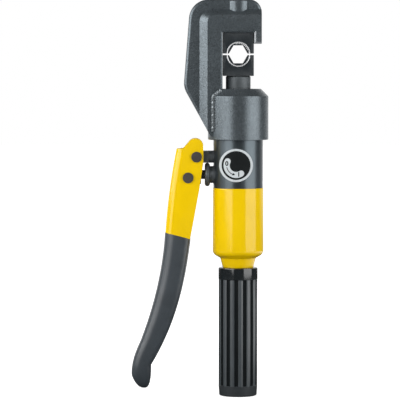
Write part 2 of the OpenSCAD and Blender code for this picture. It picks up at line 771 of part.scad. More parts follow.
// Section of the channel: r across the lever, h along Y
module channel_section() {
    module round_end(r, half, corner) {
        square_w = channel_depth;
        translate([r - square_w, -half]) square([square_w - corner, 2 * half]);
        translate([r - square_w, corner - half]) square([square_w, 2 * (half - corner)]);
        for (side = [-1, 1]) translate([r - corner, side * (half - corner)]) circle(r = corner);
    }
    difference() {
        round_end(web_bow, channel_w / 2, bend_r);
        translate([-past, 0]) round_end(web_bow - sheet_t + past, channel_in, bend_r - sheet_t);
    }
}

// Pressed steel lever: bowed channel trimmed to the cheeks' outline, with its tongue
module lever_channel() color("gold") translate([fulcrum_x, 0, fulcrum_z]) difference() {
    sweep = 14;
    union() {
        intersection() {
            translate([web_x + web_bow * cos(web_lean), 0, web_z - web_bow * sin(web_lean)])
                rotate([90, 0, 0]) rotate([0, 0, 180 - web_lean - sweep / 2])
                    rotate_extrude(angle = sweep, $fn = 1440) channel_section();
            plate(2 * channel_w) polygon(concat(arc(cheek_top, cheek_top_r, 0, 135), [web_top],
                [web_top - [channel_depth, 1], [-3 * channel_depth, sleeve_top[1]]],
                [cheek_edge[2] - [3 * channel_depth, channel_depth]],
                [cheek_edge[2] - [0, channel_depth]], [cheek_edge[2], cheek_edge[1], cheek_edge[0]]));
            above_sleeve();
        }
        lever_tail(0);
    }
    bar_y(fulcrum_pin_r + fit, -channel_w, channel_w, 0);
    bar_y(plunger_pin_r + fit, -channel_w, channel_w, pin_z - fulcrum_z, pin_x - fulcrum_x);
}

// Soft sleeve over the lever's lower end, with a blunt curved tip
module lever_sleeve() color("#2b2b2b") translate([fulcrum_x, 0, fulcrum_z]) difference() {
    skin(concat([for (i = [0:sleeve_rings]) sleeve_ring(sleeve_station(i / sleeve_rings))],
        [for (i = [1:tip_rings]) sleeve_ring(curve(sleeve_d3, tip_b, tip_c, tip_d, i / tip_rings))]));
    above_sleeve();
    lever_tail(fit);
}

// Headed pin across the lever's cheeks, with a clip groove at its back end
module headed_pin(r, x, z) {
    half = channel_w / 2;
    clip_y = half + fit;
    difference() {
        union() {
            bar_y(r, -half, half + pin_end, z, x);
            bar_y(pin_head_r, -half - pin_head_t, -half, z, x);
        }
        translate([x, 0, z]) rotate([-90, 0, 0])
            ring(r + past, r - pin_clip_groove, clip_y - fit, clip_y + pin_clip_t + fit);
    }
}

module fulcrum_pin() color("dimgray") headed_pin(fulcrum_pin_r, fulcrum_x, fulcrum_z);
module plunger_pin() color("dimgray") headed_pin(plunger_pin_r, pin_x, pin_z);

module pin_circlips() color("silver") {
    for (p = [[fulcrum_pin_r, fulcrum_x, fulcrum_z], [plunger_pin_r, pin_x, pin_z]])
        translate([p[1], channel_w / 2 + fit, p[2]]) rotate([-90, 0, 0])
            ring(p[0] + pin_clip_w, p[0] - pin_clip_groove + fit, 0, pin_clip_t);
}

// Upright bar with round ends over the plunger pin's travel, along Y
module slot_bar(r, w) {
    slot_x = pin_x + slot_shift;
    bar_y(r, -w / 2, w / 2, slot_low, slot_x);
    bar_y(r, -w / 2, w / 2, slot_high, slot_x);
    translate([slot_x - r, -w / 2, slot_low]) cube([2 * r, w, slot_high - slot_low]);
}

// Plunger with a slotted eye for the lever's pin
module plunger() color("gray") difference() {
    slot_r = plunger_pin_r + slot_play;
    union() {
        slot_bar(slot_r + eye_wall, eye_w);
        translate([pin_x, -eye_w / 2, plunger_z - eye_h / 2]) cube([eye_end - pin_x, eye_w, eye_h]);
        bar_x(plunger_r, pin_x, plunger_tip, plunger_z);
    }
    slot_bar(slot_r, 2 * eye_w);
}

// Rubber grip with round-ended flutes
module grip_sleeve() color("#1e1e1e") difference() {
    reach = flute_w * flute_w / 4;
    cut_r = (reach + flute_depth * flute_depth) / (2 * flute_depth);
    rotate_extrude() polygon([[0, 0], [grip_r - band_taper - foot_chamfer, 0],
        [grip_r - band_taper, foot_chamfer], [grip_r, band_foot], [grip_r, grip_len - top_chamfer],
        [grip_r - top_chamfer, grip_len], [0, grip_len]]);
    bar_z(core_r, sleeve_floor, grip_len + past);
    for (i = [0:flute_count - 1]) rotate([0, 0, flute_turn + 360 * i / flute_count - 90]) {
        centre = grip_r - flute_depth + cut_r;
        bar_z(cut_r, band_foot + cut_r, grip_len - band_top - cut_r, centre);
        for (z = [band_foot + cut_r, grip_len - band_top - cut_r])
            translate([centre, 0, z]) sphere(r = cut_r);
    }
}

// Steel core of the grip, turning on the barrel's spigot
module grip_core() color("silver") difference() {
    bar_z(core_r - fit, sleeve_floor, grip_len);
    bar_z(core_r - core_wall, sleeve_floor - past, core_land_z);
    bar_z(spigot_r + run, core_land_z - past, grip_len + past);
    bar_x(drive_screw_r + fit, -2 * core_r, 2 * core_r, disc_z + disc_h / 2);
}

// Disc with a square hole that turns the stem and lets it slide
module drive_disc() color("goldenrod") difference() {
    side = drive_side + 2 * drive_play;
    bar_z(core_r - core_wall - fit, disc_z, disc_z + disc_h);
    translate([-side / 2, -side / 2, disc_z - past]) cube([side, side, disc_h + 2 * past]);
    bar_x(drive_screw_r + fit, -2 * core_r, 2 * core_r, disc_z + disc_h / 2);
}

// Two screws through the core into the disc, their ends inside the core's round surface
module drive_screws() color("gray") {
    screw_end = sqrt(core_r * core_r - drive_screw_r * drive_screw_r) - run;
    for (turn = [0, 180]) rotate([0, 0, turn])
        bar_x(drive_screw_r, drive_side / 2 + drive_play + drive_wall, screw_end, disc_z + disc_h / 2);
}

// Release stem: square drive in the grip, threaded shank and needle tip in the pump body
module release_stem() color("silver") {
    foot = disc_z - drive_over;
    shank_z = disc_z + disc_h + drive_over + stem_travel;
    translate([-drive_side / 2, -drive_side / 2, foot])
        cube([drive_side, drive_side, shank_z - foot + past]);
    bar_z(stem_rod_r, shank_z, needle_z);
    translate([0, 0, needle_z]) cylinder(r1 = stem_rod_r, r2 = needle_tip_r, h = needle_h);
}

c_head();
upper_die();
die_set_screw();
rod_wiper();
head_seal();
return_spring();
pump_body();
label_plate();
fulcrum_lug();
gland_nut();
plunger_seal();
inlet_spring();
outlet_seat();
outlet_spring();
outlet_plug();
relief_spring();
relief_screw();
passage_plugs();
stem_seal();
suction_filter();
reservoir_barrel();
barrel_seal();
stem_tube();
oil_bladder();
bladder_clip();
grip_circlip();
ram();
piston_seal();
lower_die();
lower_die_ring();
lever_channel();
lever_sleeve();
fulcrum_pin();
plunger_pin();
pin_circlips();
plunger();
grip_sleeve();
grip_core();
drive_disc();
drive_screws();
release_stem();
inlet_ball();
outlet_ball();
relief_ball();
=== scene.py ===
"""Looks of a hand hydraulic crimping tool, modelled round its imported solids."""
import math

import bmesh
import bpy
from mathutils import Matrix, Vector


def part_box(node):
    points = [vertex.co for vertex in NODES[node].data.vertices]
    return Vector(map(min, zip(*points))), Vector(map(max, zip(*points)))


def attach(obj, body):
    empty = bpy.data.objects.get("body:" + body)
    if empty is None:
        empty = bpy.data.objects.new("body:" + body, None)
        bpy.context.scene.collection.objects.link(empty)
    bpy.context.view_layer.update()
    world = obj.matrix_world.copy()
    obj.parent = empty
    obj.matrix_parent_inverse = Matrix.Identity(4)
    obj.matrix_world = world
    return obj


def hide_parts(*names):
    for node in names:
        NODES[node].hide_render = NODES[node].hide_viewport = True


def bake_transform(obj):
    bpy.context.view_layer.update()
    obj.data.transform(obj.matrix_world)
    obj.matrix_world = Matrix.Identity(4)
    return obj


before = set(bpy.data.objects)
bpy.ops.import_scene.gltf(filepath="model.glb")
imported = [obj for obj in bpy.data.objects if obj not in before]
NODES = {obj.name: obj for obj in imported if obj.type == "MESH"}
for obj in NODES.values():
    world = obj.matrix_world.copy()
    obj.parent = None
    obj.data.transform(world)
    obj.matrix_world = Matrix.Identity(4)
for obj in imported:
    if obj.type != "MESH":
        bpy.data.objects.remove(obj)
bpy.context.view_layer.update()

bl_info = {
    "name": "Hydraulic hand crimper",
    "version": (1, 0, 0),
    "blender": (4, 5, 0),
    "location": "View3D > Sidebar > Crimper",
    "description": "Models the outside of a hand hydraulic crimping tool and its studio",
    "category": "Object",
}

MM = 0.001
# Room between fixed pieces, and between pieces that move on each other
FIT = 0.02 * MM
RUN = 0.05 * MM
# Tolerances for telling a place, merging doubles and removing slivers
TINY = 0.01 * MM
WELD = 0.001 * MM
SLIVER = 0.004 * MM
# How far a cut goes past what it cuts, and how far joined forms overlap
PAST = 1 * MM
LAP = 0.2 * MM
# Share of a rounded edge by which its middle stands back
ROUND = 0.3
# Edges that turn by more than this are broken
BREAK = math.radians(40)


def low(node, axis):
    """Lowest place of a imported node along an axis."""
    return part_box(node)[0]["xyz".index(axis)]


def high(node, axis):
    """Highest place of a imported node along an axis."""
    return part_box(node)[1]["xyz".index(axis)]


def length(label, text, size):
    """A length in millimetres as a property."""
    return bpy.props.FloatProperty(
        name=label, description=text, default=size * MM, unit="LENGTH", precision=5)


def angle(label, text, degrees):
    """An angle in degrees as a property."""
    return bpy.props.FloatProperty(
        name=label, description=text, default=math.radians(degrees), subtype="ANGLE")


def share(label, text, part):
    """A plain share as a property."""
    return bpy.props.FloatProperty(name=label, description=text, default=part, subtype="FACTOR")


def count(label, text, number):
    """A number of like things as a property."""
    return bpy.props.IntProperty(name=label, description=text, default=number)


def colour(label, text, red, green, blue):
    """A linear colour as a property."""
    return bpy.props.FloatVectorProperty(
        name=label, description=text, default=(red, green, blue), subtype="COLOR",
        size=3, min=0.0, max=1.0)


class CRIMPER_PG_head(bpy.types.PropertyGroup):
    """Sizes of the head casting."""
    flange: length("Flange half", "Half the thickness of the flange", 9)
    edge: length("Edge rounding", "Rounding of the flange's outer edge", 2.4)
    pad: length("Pad half", "Half the thickness over the raised pads", 14)
    strip: length("Slope width", "Width of the sloped strip left of the pad", 6.4)
    brow: length("Slope height", "Height of the slope above the pad", 4.4)
    pad_left: length("Pad left", "Left edge of the pad's flat", -24.8)
    pad_top: length("Pad top", "Top edge of the pad's flat", 307.8)
    pad_corner: length("Pad corner", "Corner radius of the pad's flat", 6)
    foot: length("Foot", "Lower end of the flange inside the collar", 210.4)
    foot_left: length("Foot left", "Left end of the flange's foot", -22.4)
    throat: length("Throat", "Back wall of the throat", -12.7)
    jaw: length("Jaw", "Height of the face that the upper die rests on", 293.5)
    lip: length("Lip", "Inner face of the lip beside the upper die", 12.7)
    lip_foot: length("Lip foot", "Lower end of the lip", 284.6)
    right: length("Right side", "Right side of the jaw", 18.7)
    mouth_edge: length("Mouth edge", "Chamfer along the throat, jaw and lip", 1.4)
    corner: length("Top right radius", "Radius of the top right corner", 10)
    crown: length("Top left radius", "Radius of the crown and of the bend below it", 16)
    crown_x: length("Crown", "Centre of the crown's arc", -23.7)
    bend_z: length("Bend", "Height of the centre of the lower bend", 253.0)
    crown_end: angle("Crown end", "Angle at which the crown's arc ends", 175.5)
    bend_end: angle("Bend end", "Angle at which the lower bend ends", 208.5)
    boss: length("Boss radius", "Radius of the boss over the upper die's stem", 11.3)
    boss_edge: length("Boss edge", "Chamfer of the boss's top", 1.5)
    chamfer: length("Collar chamfer", "Chamfer at the top of the collar", 6)
    rod: length("Rod radius", "Radius of the ram's rod", 10)
    bead: length("Bead radius", "Radius of the cast bead where pad and collar meet", 1.8)
    bead_foot: length("Bead foot", "Height of the bead's foot above the flange's foot", 4)
    lumps: share("Bead lumps", "Share by which the bead's radius wavers", 0.16)
    boss_drop: length("Boss drop", "How far the boss stays below the head's top", 0.3)
    soft: length("Soft edge", "Rounding of the collar's edges", 0.6)


class CRIMPER_PG_dies(bpy.types.PropertyGroup):
    """Sizes of the two dies."""
    half: length("Half width", "Half the width of a die", 12.4)
    depth: length("Half depth", "Half the depth of a die", 11)
    height: length("Height", "Height of one die, just short of the dies' contact", 16.78)
    lower: length("Lower foot", "Foot of the lower die", 258.7)
    upper: length("Upper split", "Split face of the upper die", 276.7)
    flat: length("Hexagon", "Distance across the hexagon's flats", 13.2)
    ring: length("Ring radius", "Outer radius of the polished ring", 9.4)
    recess: length("Recess", "Depth of the recess inside the ring", 0.9)
    edge: length("Edge", "Broken edge of the die", 0.35)
    stem: length("Stem radius", "Radius of the die's stem", 5)
    groove: length("Groove", "Depth of the stem's groove", 1.2)
    stem_edge: length("Stem edge", "Chamfer at the stem's end", 0.4)
    tick: length("Tick", "Length of the plain ticks inside the upper ring", 0.75)
    tick_up: length("Tick rise", "How far a tick stands out of the recess", 0.15)
    tick_gap: length("Tick gap", "Room between the ticks and the ring", 0.1)
    tick_from: angle("First tick", "Angle of the first tick", 20)
    tick_turn: angle("Tick width", "Angle that one tick takes", 5)
    tick_row: angle("Row of ticks", "Angle from the first tick to the last", 80)
    ticks: count("Ticks", "Number of ticks after the first", 8)


class CRIMPER_PG_label(bpy.types.PropertyGroup):
    """Sizes of the round label on the pump body."""
    x: length("Centre X", "Centre of the label across the tool", -1.9)
    z: length("Centre height", "Height of the label's centre", 187.2)
    rim: length("Rim", "Outer radius of the pale rim", 13.3)
    field: length("Field", "Radius of the dark field", 11.55)
    band_out: length("Band outside", "Outer radius of the pale band", 10.0)
    band_in: length("Band inside", "Inner radius of the pale band", 5.1)
    band_start: angle("Band start", "Angle at which the band starts", 154)
    band_end: angle("Band end", "Angle at which the band ends", 302)
    arrow: length("Arrow", "Width of the arrow's line", 0.55)
    tail: angle("Arrow tail", "Angle from the band's start to the arrow's tail", 36)
    point: angle("Arrow point", "Angle from the arrow's head to the band's end", 54)
    mark: angle("Marks", "Angle from the band's ends to the marks", 16)
    mark_size: length("Mark size", "Size of the marks 0 and 1", 5)
    mark_weight: length("Mark weight", "How far the strokes of the marks are thickened", 0.18)
    sheet: length("Sheet", "Thickness of the label's sheet", 0.36)
    ink: length("Ink", "Thickness of a printed layer", 0.03)
    slice: length("Slice", "Width of the strips that follow the round body", 0.8)


class CRIMPER_PG_barrel(bpy.types.PropertyGroup):
    """Sizes of the oil reservoir's barrel."""
    shoulder: length("Shoulder", "Radius of the drawn-in shoulder", 5)
    slope: angle("Shoulder slope", "Turn of the shoulder before its cone", 60)
    straight: length("Straight wall", "Height at which the straight wall starts", 118)
    drawn: length("Drawn part", "Height from the crease to the straight wall", 6.4)
    crease: length("Crease radius", "Radius of the crease above the neck", 14.4)
    neck: length("Neck radius", "Radius of the neck where it meets the grip", 12.5)
    spigot: length("Spigot radius", "Radius of the spigot that the grip turns on", 10)
    edge: length("Edge", "Broken edge at the top", 0.7)
    stem: length("Stem hole", "Radius of the hole for the release stem", 4.3)
    tube: length("Tube seat", "Radius of the seat of the stem's tube", 6.32)
    floor: length("Floor", "Height of the reservoir's floor", 121)
    room: length("Cavity radius", "Radius of the reservoir's cavity", 16.5)
    ledge: length("Ledge", "Height of the ledge under the bladder's lip", 154)
    groove: length("Groove radius", "Radius of the groove for the grip's circlip", 9)
    gap: length("Neck gap", "Room between the grip's top and the neck", 0.2)


class CRIMPER_PG_grip(bpy.types.PropertyGroup):
    """Sizes of the twist grip."""
    radius: length("Radius", "Radius over the grip's ribs", 15.8)
    land: angle("Land", "Angle that a flat land between two grooves takes", 13.4)
    crown: length("Crown", "How far a land's edges stand back from its middle", 0.3)
    flutes_d: length("Groove depth", "Depth of a groove", 1.3)
    step: length("Step", "How far the fluted part stands back from the bands", 0.12)
    flutes: count("Grooves", "Number of grooves", 14)
    flutes_full: bpy.props.FloatProperty(
        name="Groove fullness", description="Power that sets how round a groove's floor is", default=1.3)
    under: length("Body", "How far the body lies below the floor of the grooves", 0.4)
    turn: angle("Groove turn", "Turn of the grooves from the front", -5.9)
    top: length("Top band", "Height of the plain band at the top", 9.6)
    foot: length("Foot band", "Height of the plain band at the foot", 8.5)
    taper: length("Foot taper", "How far the foot band draws in", 0.6)
    rim: length("Rim", "Rounding of the top and foot edges", 0.8)
    foot_in: length("Foot draft", "How far the foot band's top stands back", 0.1)
    foot_edge: length("Foot edge", "Chamfer at the foot band's top", 0.3)
    band_edge: length("Band edge", "Chamfer at the top band's foot", 0.25)


class CRIMPER_PG_lever(bpy.types.PropertyGroup):
    """Sizes of the pump lever, from its fulcrum."""
    x: length("Fulcrum X", "Fulcrum's place across the tool", -33.5)
    z: length("Fulcrum height", "Height of the fulcrum", 193.6)
    width: length("Channel width", "Width over the channel's cheeks", 22)
    sheet: length("Sheet", "Thickness of the channel's sheet", 2.5)
    bend: length("Bend", "Outer radius of the channel's bends", 5.8)
    edge: length("Edge", "Broken edge of the sheet", 0.35)
    round: length("Cheek top", "Radius of the cheeks' round top", 6.5)
    web_x: length("Web X", "Place of the web", -21.9)
    web_z: length("Web height", "Height at which the web's place is taken", -27.2)
    web_bow: length("Web bow", "Radius of the web's long bow", 530)
    web_lean: angle("Web lean", "Lean of the web", 7.6)
    sleeve_x: length("Sleeve X", "Left side of the sleeve's top", -25.5)
    sleeve_z: length("Sleeve top", "Height of the sleeve's top", -59.6)
    sleeve_w: length("Sleeve width", "Width of the sleeve at its top", 21.4)
    sleeve_d: length("Sleeve depth", "Depth of the sleeve front to back", 24)
    sleeve_len: length("Sleeve length", "Length of the sleeve above its tip", 109.2)
    sweep: length("Sweep", "How far the sleeve sweeps out", 28.3)
    tip_w: length("Tip width", "Width of the sleeve at its tip", 16.8)
    tip_h: length("Tip height", "Height of the rounded tip", 18.8)
    mouth: length("Sleeve mouth", "Rounding of the sleeve's mouth", 0.7)
    tilt: angle("Joint tilt", "Tilt of the joint at the sleeve's top", 14.5)
    joint_x: length("Joint X", "A place on the joint across the tool", -25.1)
    joint_z: length("Joint height", "Height of that place on the joint", -60.9)
    joint_lap: length("Joint lap", "How far the channel goes into the sleeve", 0.2)


class CRIMPER_PG_springs(bpy.types.PropertyGroup):
    """Wires of the springs."""
    ram: length("Return wire", "Radius of the return spring's wire", 1.0)
    valve: length("Valve wire", "Radius of the wire of the inlet and outlet springs", 0.35)
    relief: length("Relief wire", "Radius of the relief spring's wire", 0.4)
    closed: bpy.props.FloatProperty(
        name="Closed ends", description="Turns that lie closed at each end", default=0.75)


class CRIMPER_PG_finish(bpy.types.PropertyGroup):
    """Colours of the finishes."""
    coat: colour("Grey coat", "Satin coat of the head", 0.120, 0.142, 0.156)
    # Painted highlight: lighter than the coat so that the bead shows a bright line where light glints on it.
    seam: colour("Cast seam", "Rough bead on the head", 0.20, 0.225, 0.24)
    # Bare milled steel on the lip's chamfer, also a painted highlight that the other chamfers of the mouth
    # don't get.
    milled: colour("Milled edge", "Bare milled edge of the lip", 0.36, 0.38, 0.40)
    pump: colour("Pump coat", "Smoother coat of the pump body", 0.089, 0.109, 0.121)
    yellow: colour("Yellow paint", "Gloss paint of barrel and lever", 0.88, 0.58, 0.0)
    oxide: colour("Black oxide", "Blackened steel of dies", 0.030, 0.037, 0.042)
    nut: colour("Blackened nut", "Brighter blackened steel of lug, gland and plunger", 0.115, 0.13, 0.14)
    rubber: colour("Grip plastic", "Black grip", 0.013, 0.016, 0.018)
    # Painted light: the lands are the grip's black plastic made lighter to stand in for the light they
    # catch.
    land: colour("Grip lands", "Flats painted lighter between the grip's grooves", 0.060, 0.072, 0.080)
    # Painted light: the foot band is the grip's black plastic made lighter to stand in for the light on it.
    foot: colour("Grip foot", "Satin band at the grip's foot", 0.034, 0.041, 0.046)
    # Painted shade: the groove floors are the grip's black plastic made darker to stand in for the shade in
    # the grooves.
    groove: colour("Grip grooves", "Matt floor of the grip's grooves", 0.009, 0.012, 0.013)
    sleeve: colour("Sleeve", "Soft sleeve of the lever", 0.050, 0.061, 0.071)
    ring: colour("Polished ring", "Bright turned ring round the hexagon", 0.78, 0.79, 0.80)
    pin: colour("Pins", "Brownish phosphated pins", 0.076, 0.067, 0.059)
    steel: colour("Ground steel", "Bright ground steel", 0.58, 0.59, 0.60)
    rod: colour("Rod steel", "Dark ground rod", 0.095, 0.108, 0.116)
    brass: colour("Brass", "Turned brass", 0.62, 0.42, 0.13)
    seal: colour("Seal rubber", "Black seals", 0.012, 0.012, 0.012)
    bladder: colour("Bladder rubber", "Oil-proof rubber", 0.035, 0.026, 0.022)
    pale: colour("Label pale", "Pale grey print", 0.56, 0.60, 0.62)
    dark: colour("Label dark", "Black print", 0.010, 0.012, 0.013)


class CRIMPER_PG_tool(bpy.types.PropertyGroup):
    """All sizes and colours of the tool."""
    head: bpy.props.PointerProperty(type=CRIMPER_PG_head)
    dies: bpy.props.PointerProperty(type=CRIMPER_PG_dies)
    label: bpy.props.PointerProperty(type=CRIMPER_PG_label)
    barrel: bpy.props.PointerProperty(type=CRIMPER_PG_barrel)
    grip: bpy.props.PointerProperty(type=CRIMPER_PG_grip)
    lever: bpy.props.PointerProperty(type=CRIMPER_PG_lever)
    springs: bpy.props.PointerProperty(type=CRIMPER_PG_springs)
    finish: bpy.props.PointerProperty(type=CRIMPER_PG_finish)


def tool():
    """Sizes and colours kept in the scene."""
    return bpy.context.scene.crimping_tool


def arc(x, z, radius, start, end, steps):
    """Points along an arc in the front view, angles in degrees."""
    turn = [math.radians(start + (end - start) * k / steps) for k in range(steps + 1)]
    return [(x + radius * math.cos(t), z + radius * math.sin(t)) for t in turn]


def spot(radius, turn):
    """A place at a radius and an angle in degrees, in the front view."""
    return arc(0, 0, radius, turn, turn, 1)[0]


def alone(obj):
    """Makes one object the only selected and the active one."""
    bpy.ops.object.select_all(action="DESELECT")
    obj.select_set(True)
    bpy.context.view_layer.objects.active = obj


def line(name, points):
    """Starts a piece as edges through the points, left in edit mode."""
    bpy.ops.object.select_all(action="DESELECT")
    bpy.ops.mesh.primitive_plane_add(size=MM)
    obj = bpy.context.object
    obj.name = name
    obj.data.name = name
    bpy.ops.object.mode_set(mode="EDIT")
    bpy.ops.mesh.select_mode(type="VERT")
    bpy.ops.mesh.select_all(action="SELECT")
    bpy.ops.mesh.merge(type="CENTER")
    bpy.ops.transform.translate(value=points[0])
    for here, there in zip(points, points[1:]):
        step = [b - a for a, b in zip(here, there)]
        bpy.ops.mesh.extrude_vertices_move(TRANSFORM_OT_translate={"value": step})
    bpy.ops.mesh.select_all(action="SELECT")
    return obj


def close_up():
    """Merges doubles and turns all faces outwards in edit mode."""
    bpy.ops.mesh.select_all(action="SELECT")
    bpy.ops.mesh.remove_doubles(threshold=WELD)
    bpy.ops.mesh.normals_make_consistent(inside=False)


def clean(obj):
    """Removes the slivers that cutting and joining leave."""
    alone(obj)
    bpy.ops.object.mode_set(mode="EDIT")
    bpy.ops.mesh.select_all(action="SELECT")
    bpy.ops.mesh.remove_doubles(threshold=SLIVER)
    bpy.ops.mesh.dissolve_degenerate(threshold=SLIVER)
    bpy.ops.object.mode_set(mode="OBJECT")


def extrude(step):
    """Extrudes the selected faces by a step in edit mode."""
    bpy.ops.mesh.extrude_region_move(TRANSFORM_OT_translate={"value": step})


def plate(name, outline, front, back):
    """A flat piece from an outline of X and Z, left in edit mode."""
    obj = line(name, [(x, front, z) for x, z in outline])
    bpy.ops.mesh.edge_face_add()
    extrude((0, back - front, 0))
    close_up()
    return obj


def turned(name, profile, level=None, steps=96, loop=False):
    """A piece spun from points of radius and place along its axis, upright or front to back at a level."""
    if level is None:
        points = [(r, 0, along) for r, along in profile]
        centre = (0, 0, 0)
        axis = (0, 0, 1)
    else:
        points = [(r, along, level) for r, along in profile]
        centre = (0, 0, level)
        axis = (0, 1, 0)
    if loop:
        points.append(points[0])
    obj = line(name, points)
    bpy.ops.mesh.spin(steps=steps, angle=math.tau, center=centre, axis=axis)
    close_up()
    bpy.ops.object.mode_set(mode="OBJECT")
    return obj


# Turn of the wave of lumps from one point of a bar to the next, in radians
LUMP_TURN = 2.4


def tube(name, points, radius, lumps):
    """A round bar along the points, its radius wavering by a share."""
    bpy.ops.object.select_all(action="DESELECT")
    bpy.ops.curve.primitive_nurbs_path_add()
    bar = bpy.context.object
    bar.name = name
    bar.data.splines.clear()
    way = bar.data.splines.new("POLY")
    way.points.add(len(points) - 1)
    for k, point in enumerate(points):
        way.points[k].co = (*point, 1)
        way.points[k].radius = 1 + lumps * math.sin(LUMP_TURN * k)
    bar.data.dimensions = "3D"
    bar.data.bevel_depth = radius
    bar.data.bevel_resolution = 3
    bar.data.use_fill_caps = True
    bpy.ops.object.convert(target="MESH")
    bar = bpy.context.object
    alone(bar)
    bpy.ops.object.mode_set(mode="EDIT")
    close_up()
    bpy.ops.object.mode_set(mode="OBJECT")
    return bar


def pick(obj, kind, test):
    """Selects in edit mode only the corners, edges or faces that pass a test."""
    bpy.ops.mesh.select_mode(type={"verts": "VERT", "edges": "EDGE", "faces": "FACE"}[kind])
    bpy.ops.mesh.select_all(action="DESELECT")
    mesh = bmesh.from_edit_mesh(obj.data)
    mesh.normal_update()
    for item in getattr(mesh, kind):
        if test(item):
            item.select_set(True)
    bmesh.update_edit_mesh(obj.data)


def both(edge, test):
    """True where both ends of an edge pass a test on their place."""
    return all(test(v.co) for v in edge.verts)


def bevel(width, segments):
    """Bevels the selected edges in edit mode."""
    bpy.ops.mesh.bevel(offset=width, segments=segments, profile=0.5, affect="EDGES")


def modifier(obj, kind, **settings):
    """Adds a modifier with its settings."""
    step = obj.modifiers.new(kind.title(), kind)
    for name, value in settings.items():
        setattr(step, name, value)
    return step


def apply(obj, kind, **settings):
    """Adds a modifier with its settings and applies it."""
    if obj.mode != "OBJECT":
        bpy.ops.object.mode_set(mode="OBJECT")
    alone(obj)
    bpy.ops.object.modifier_apply(modifier=modifier(obj, kind, **settings).name)


def combine(obj, other, how):
    """Joins another solid to a piece, cuts it away or keeps what both share."""
    apply(obj, "BOOLEAN", operation=how, solver="EXACT", object=other)
    alone(other)
    bpy.ops.object.delete()
    alone(obj)


def join(obj, others):
    """Takes other meshes into a piece."""
    alone(obj)
    for other in others:
        other.select_set(True)
    bpy.ops.object.join()


def done(obj, material, body, nodes, sharp=32, weigh=True):
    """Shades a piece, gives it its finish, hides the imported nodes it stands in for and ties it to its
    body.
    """
    alone(obj)
    bpy.ops.object.shade_smooth_by_angle(angle=math.radians(sharp))
    if weigh:
        apply(obj, "WEIGHTED_NORMAL", keep_sharp=True, weight=100)
    if not obj.data.materials:
        obj.data.materials.append(finish(material))
    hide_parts(*nodes)
    if body:
        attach(obj, body)
    return obj


# Each finish: base roughness, its spread, metal share, specular level,
# grain size, grain depth, share of colour drift, share of flecks, share of bare edges
FINISHES = {
    "coat": (0.28, 0.06, 0.60, 0.50, 0.90, 0.130, 0.08, 0.22, 0.20),
    # seam: the coat painted lighter on the bead, a painted highlight.
    "seam": (0.34, 0.06, 0.50, 0.50, 0.60, 0.120, 0.10, 0.30, 0.20),
    # milled: bare steel of the lip's chamfer, partly a painted highlight.
    "milled": (0.38, 0.06, 0.45, 0.50, 0.20, 0.010, 0.08, 0.05, 0.0),
    "pump": (0.29, 0.03, 0.78, 0.50, 0.35, 0.008, 0.06, 0.05, 0.10),
    "yellow": (0.14, 0.03, 0.00, 0.45, 1.60, 0.006, 0.03, 0.00, 0.05),
    "oxide": (0.40, 0.08, 0.40, 0.30, 0.30, 0.010, 0.14, 0.06, 0.25),
    "nut": (0.40, 0.08, 0.35, 0.50, 0.30, 0.010, 0.14, 0.06, 0.25),
    "rubber": (0.09, 0.02, 0.00, 0.85, 0.45, 0.004, 0.10, 0.04, 0.0),
    # land, foot and groove are copies of the grip plastic: land and foot have painted light, groove has
    # painted shade.
    "land": (0.32, 0.05, 0.00, 0.90, 0.45, 0.006, 0.10, 0.04, 0.0),
    "foot": (0.40, 0.05, 0.00, 0.70, 0.45, 0.006, 0.10, 0.04, 0.0),
    "groove": (0.85, 0.05, 0.00, 0.10, 0.45, 0.010, 0.12, 0.04, 0.0),
    "sleeve": (0.35, 0.06, 0.00, 0.75, 0.50, 0.016, 0.10, 0.04, 0.0),
    "ring": (0.40, 0.08, 0.35, 0.50, 0.12, 0.004, 0.06, 0.00, 0.0),
    "pin": (0.46, 0.08, 0.30, 0.40, 0.30, 0.010, 0.16, 0.08, 0.10),
    "steel": (0.24, 0.10, 1.00, 0.50, 0.12, 0.006, 0.12, 0.00, 0.0),
    "rod": (0.50, 0.08, 0.35, 0.50, 0.12, 0.006, 0.14, 0.05, 0.20),
    "brass": (0.28, 0.08, 1.00, 0.50, 0.15, 0.006, 0.14, 0.00, 0.0),
    "seal": (0.55, 0.08, 0.00, 0.40, 0.30, 0.010, 0.10, 0.04, 0.0),
    "bladder": (0.60, 0.08, 0.00, 0.40, 0.60, 0.020, 0.14, 0.04, 0.0),
    "pale": (0.50, 0.05, 0.00, 0.30, 0.40, 0.006, 0.04, 0.00, 0.0),
    "dark": (0.70, 0.05, 0.00, 0.10, 0.40, 0.006, 0.10, 0.04, 0.0),
}


BARE_STEEL = (0.42, 0.43, 0.44, 1)


def add_node(tree, kind, inputs, **settings):
    """A shader node with its settings, each input a value or another node's output."""
    node = tree.nodes.new("ShaderNode" + kind)
    for name, value in settings.items():
        setattr(node, name, value)
    for key, value in inputs.items():
        if isinstance(value, bpy.types.NodeSocket):
            tree.links.new(value, node.inputs[key])
        else:
            node.inputs[key].default_value = value
    return node


def ranged(tree, value, start, end, first, last):
    """A value that goes from first to last while another goes from start to end."""
    ends = {"From Min": start, "From Max": end, "To Min": first, "To Max": last}
    return add_node(tree, "MapRange", {"Value": value, **ends}).outputs["Result"]


def reckon(tree, how, first, second):
    """Two values added, multiplied or compared."""
    return add_node(tree, "Math", {0: first, 1: second}, operation=how).outputs["Value"]


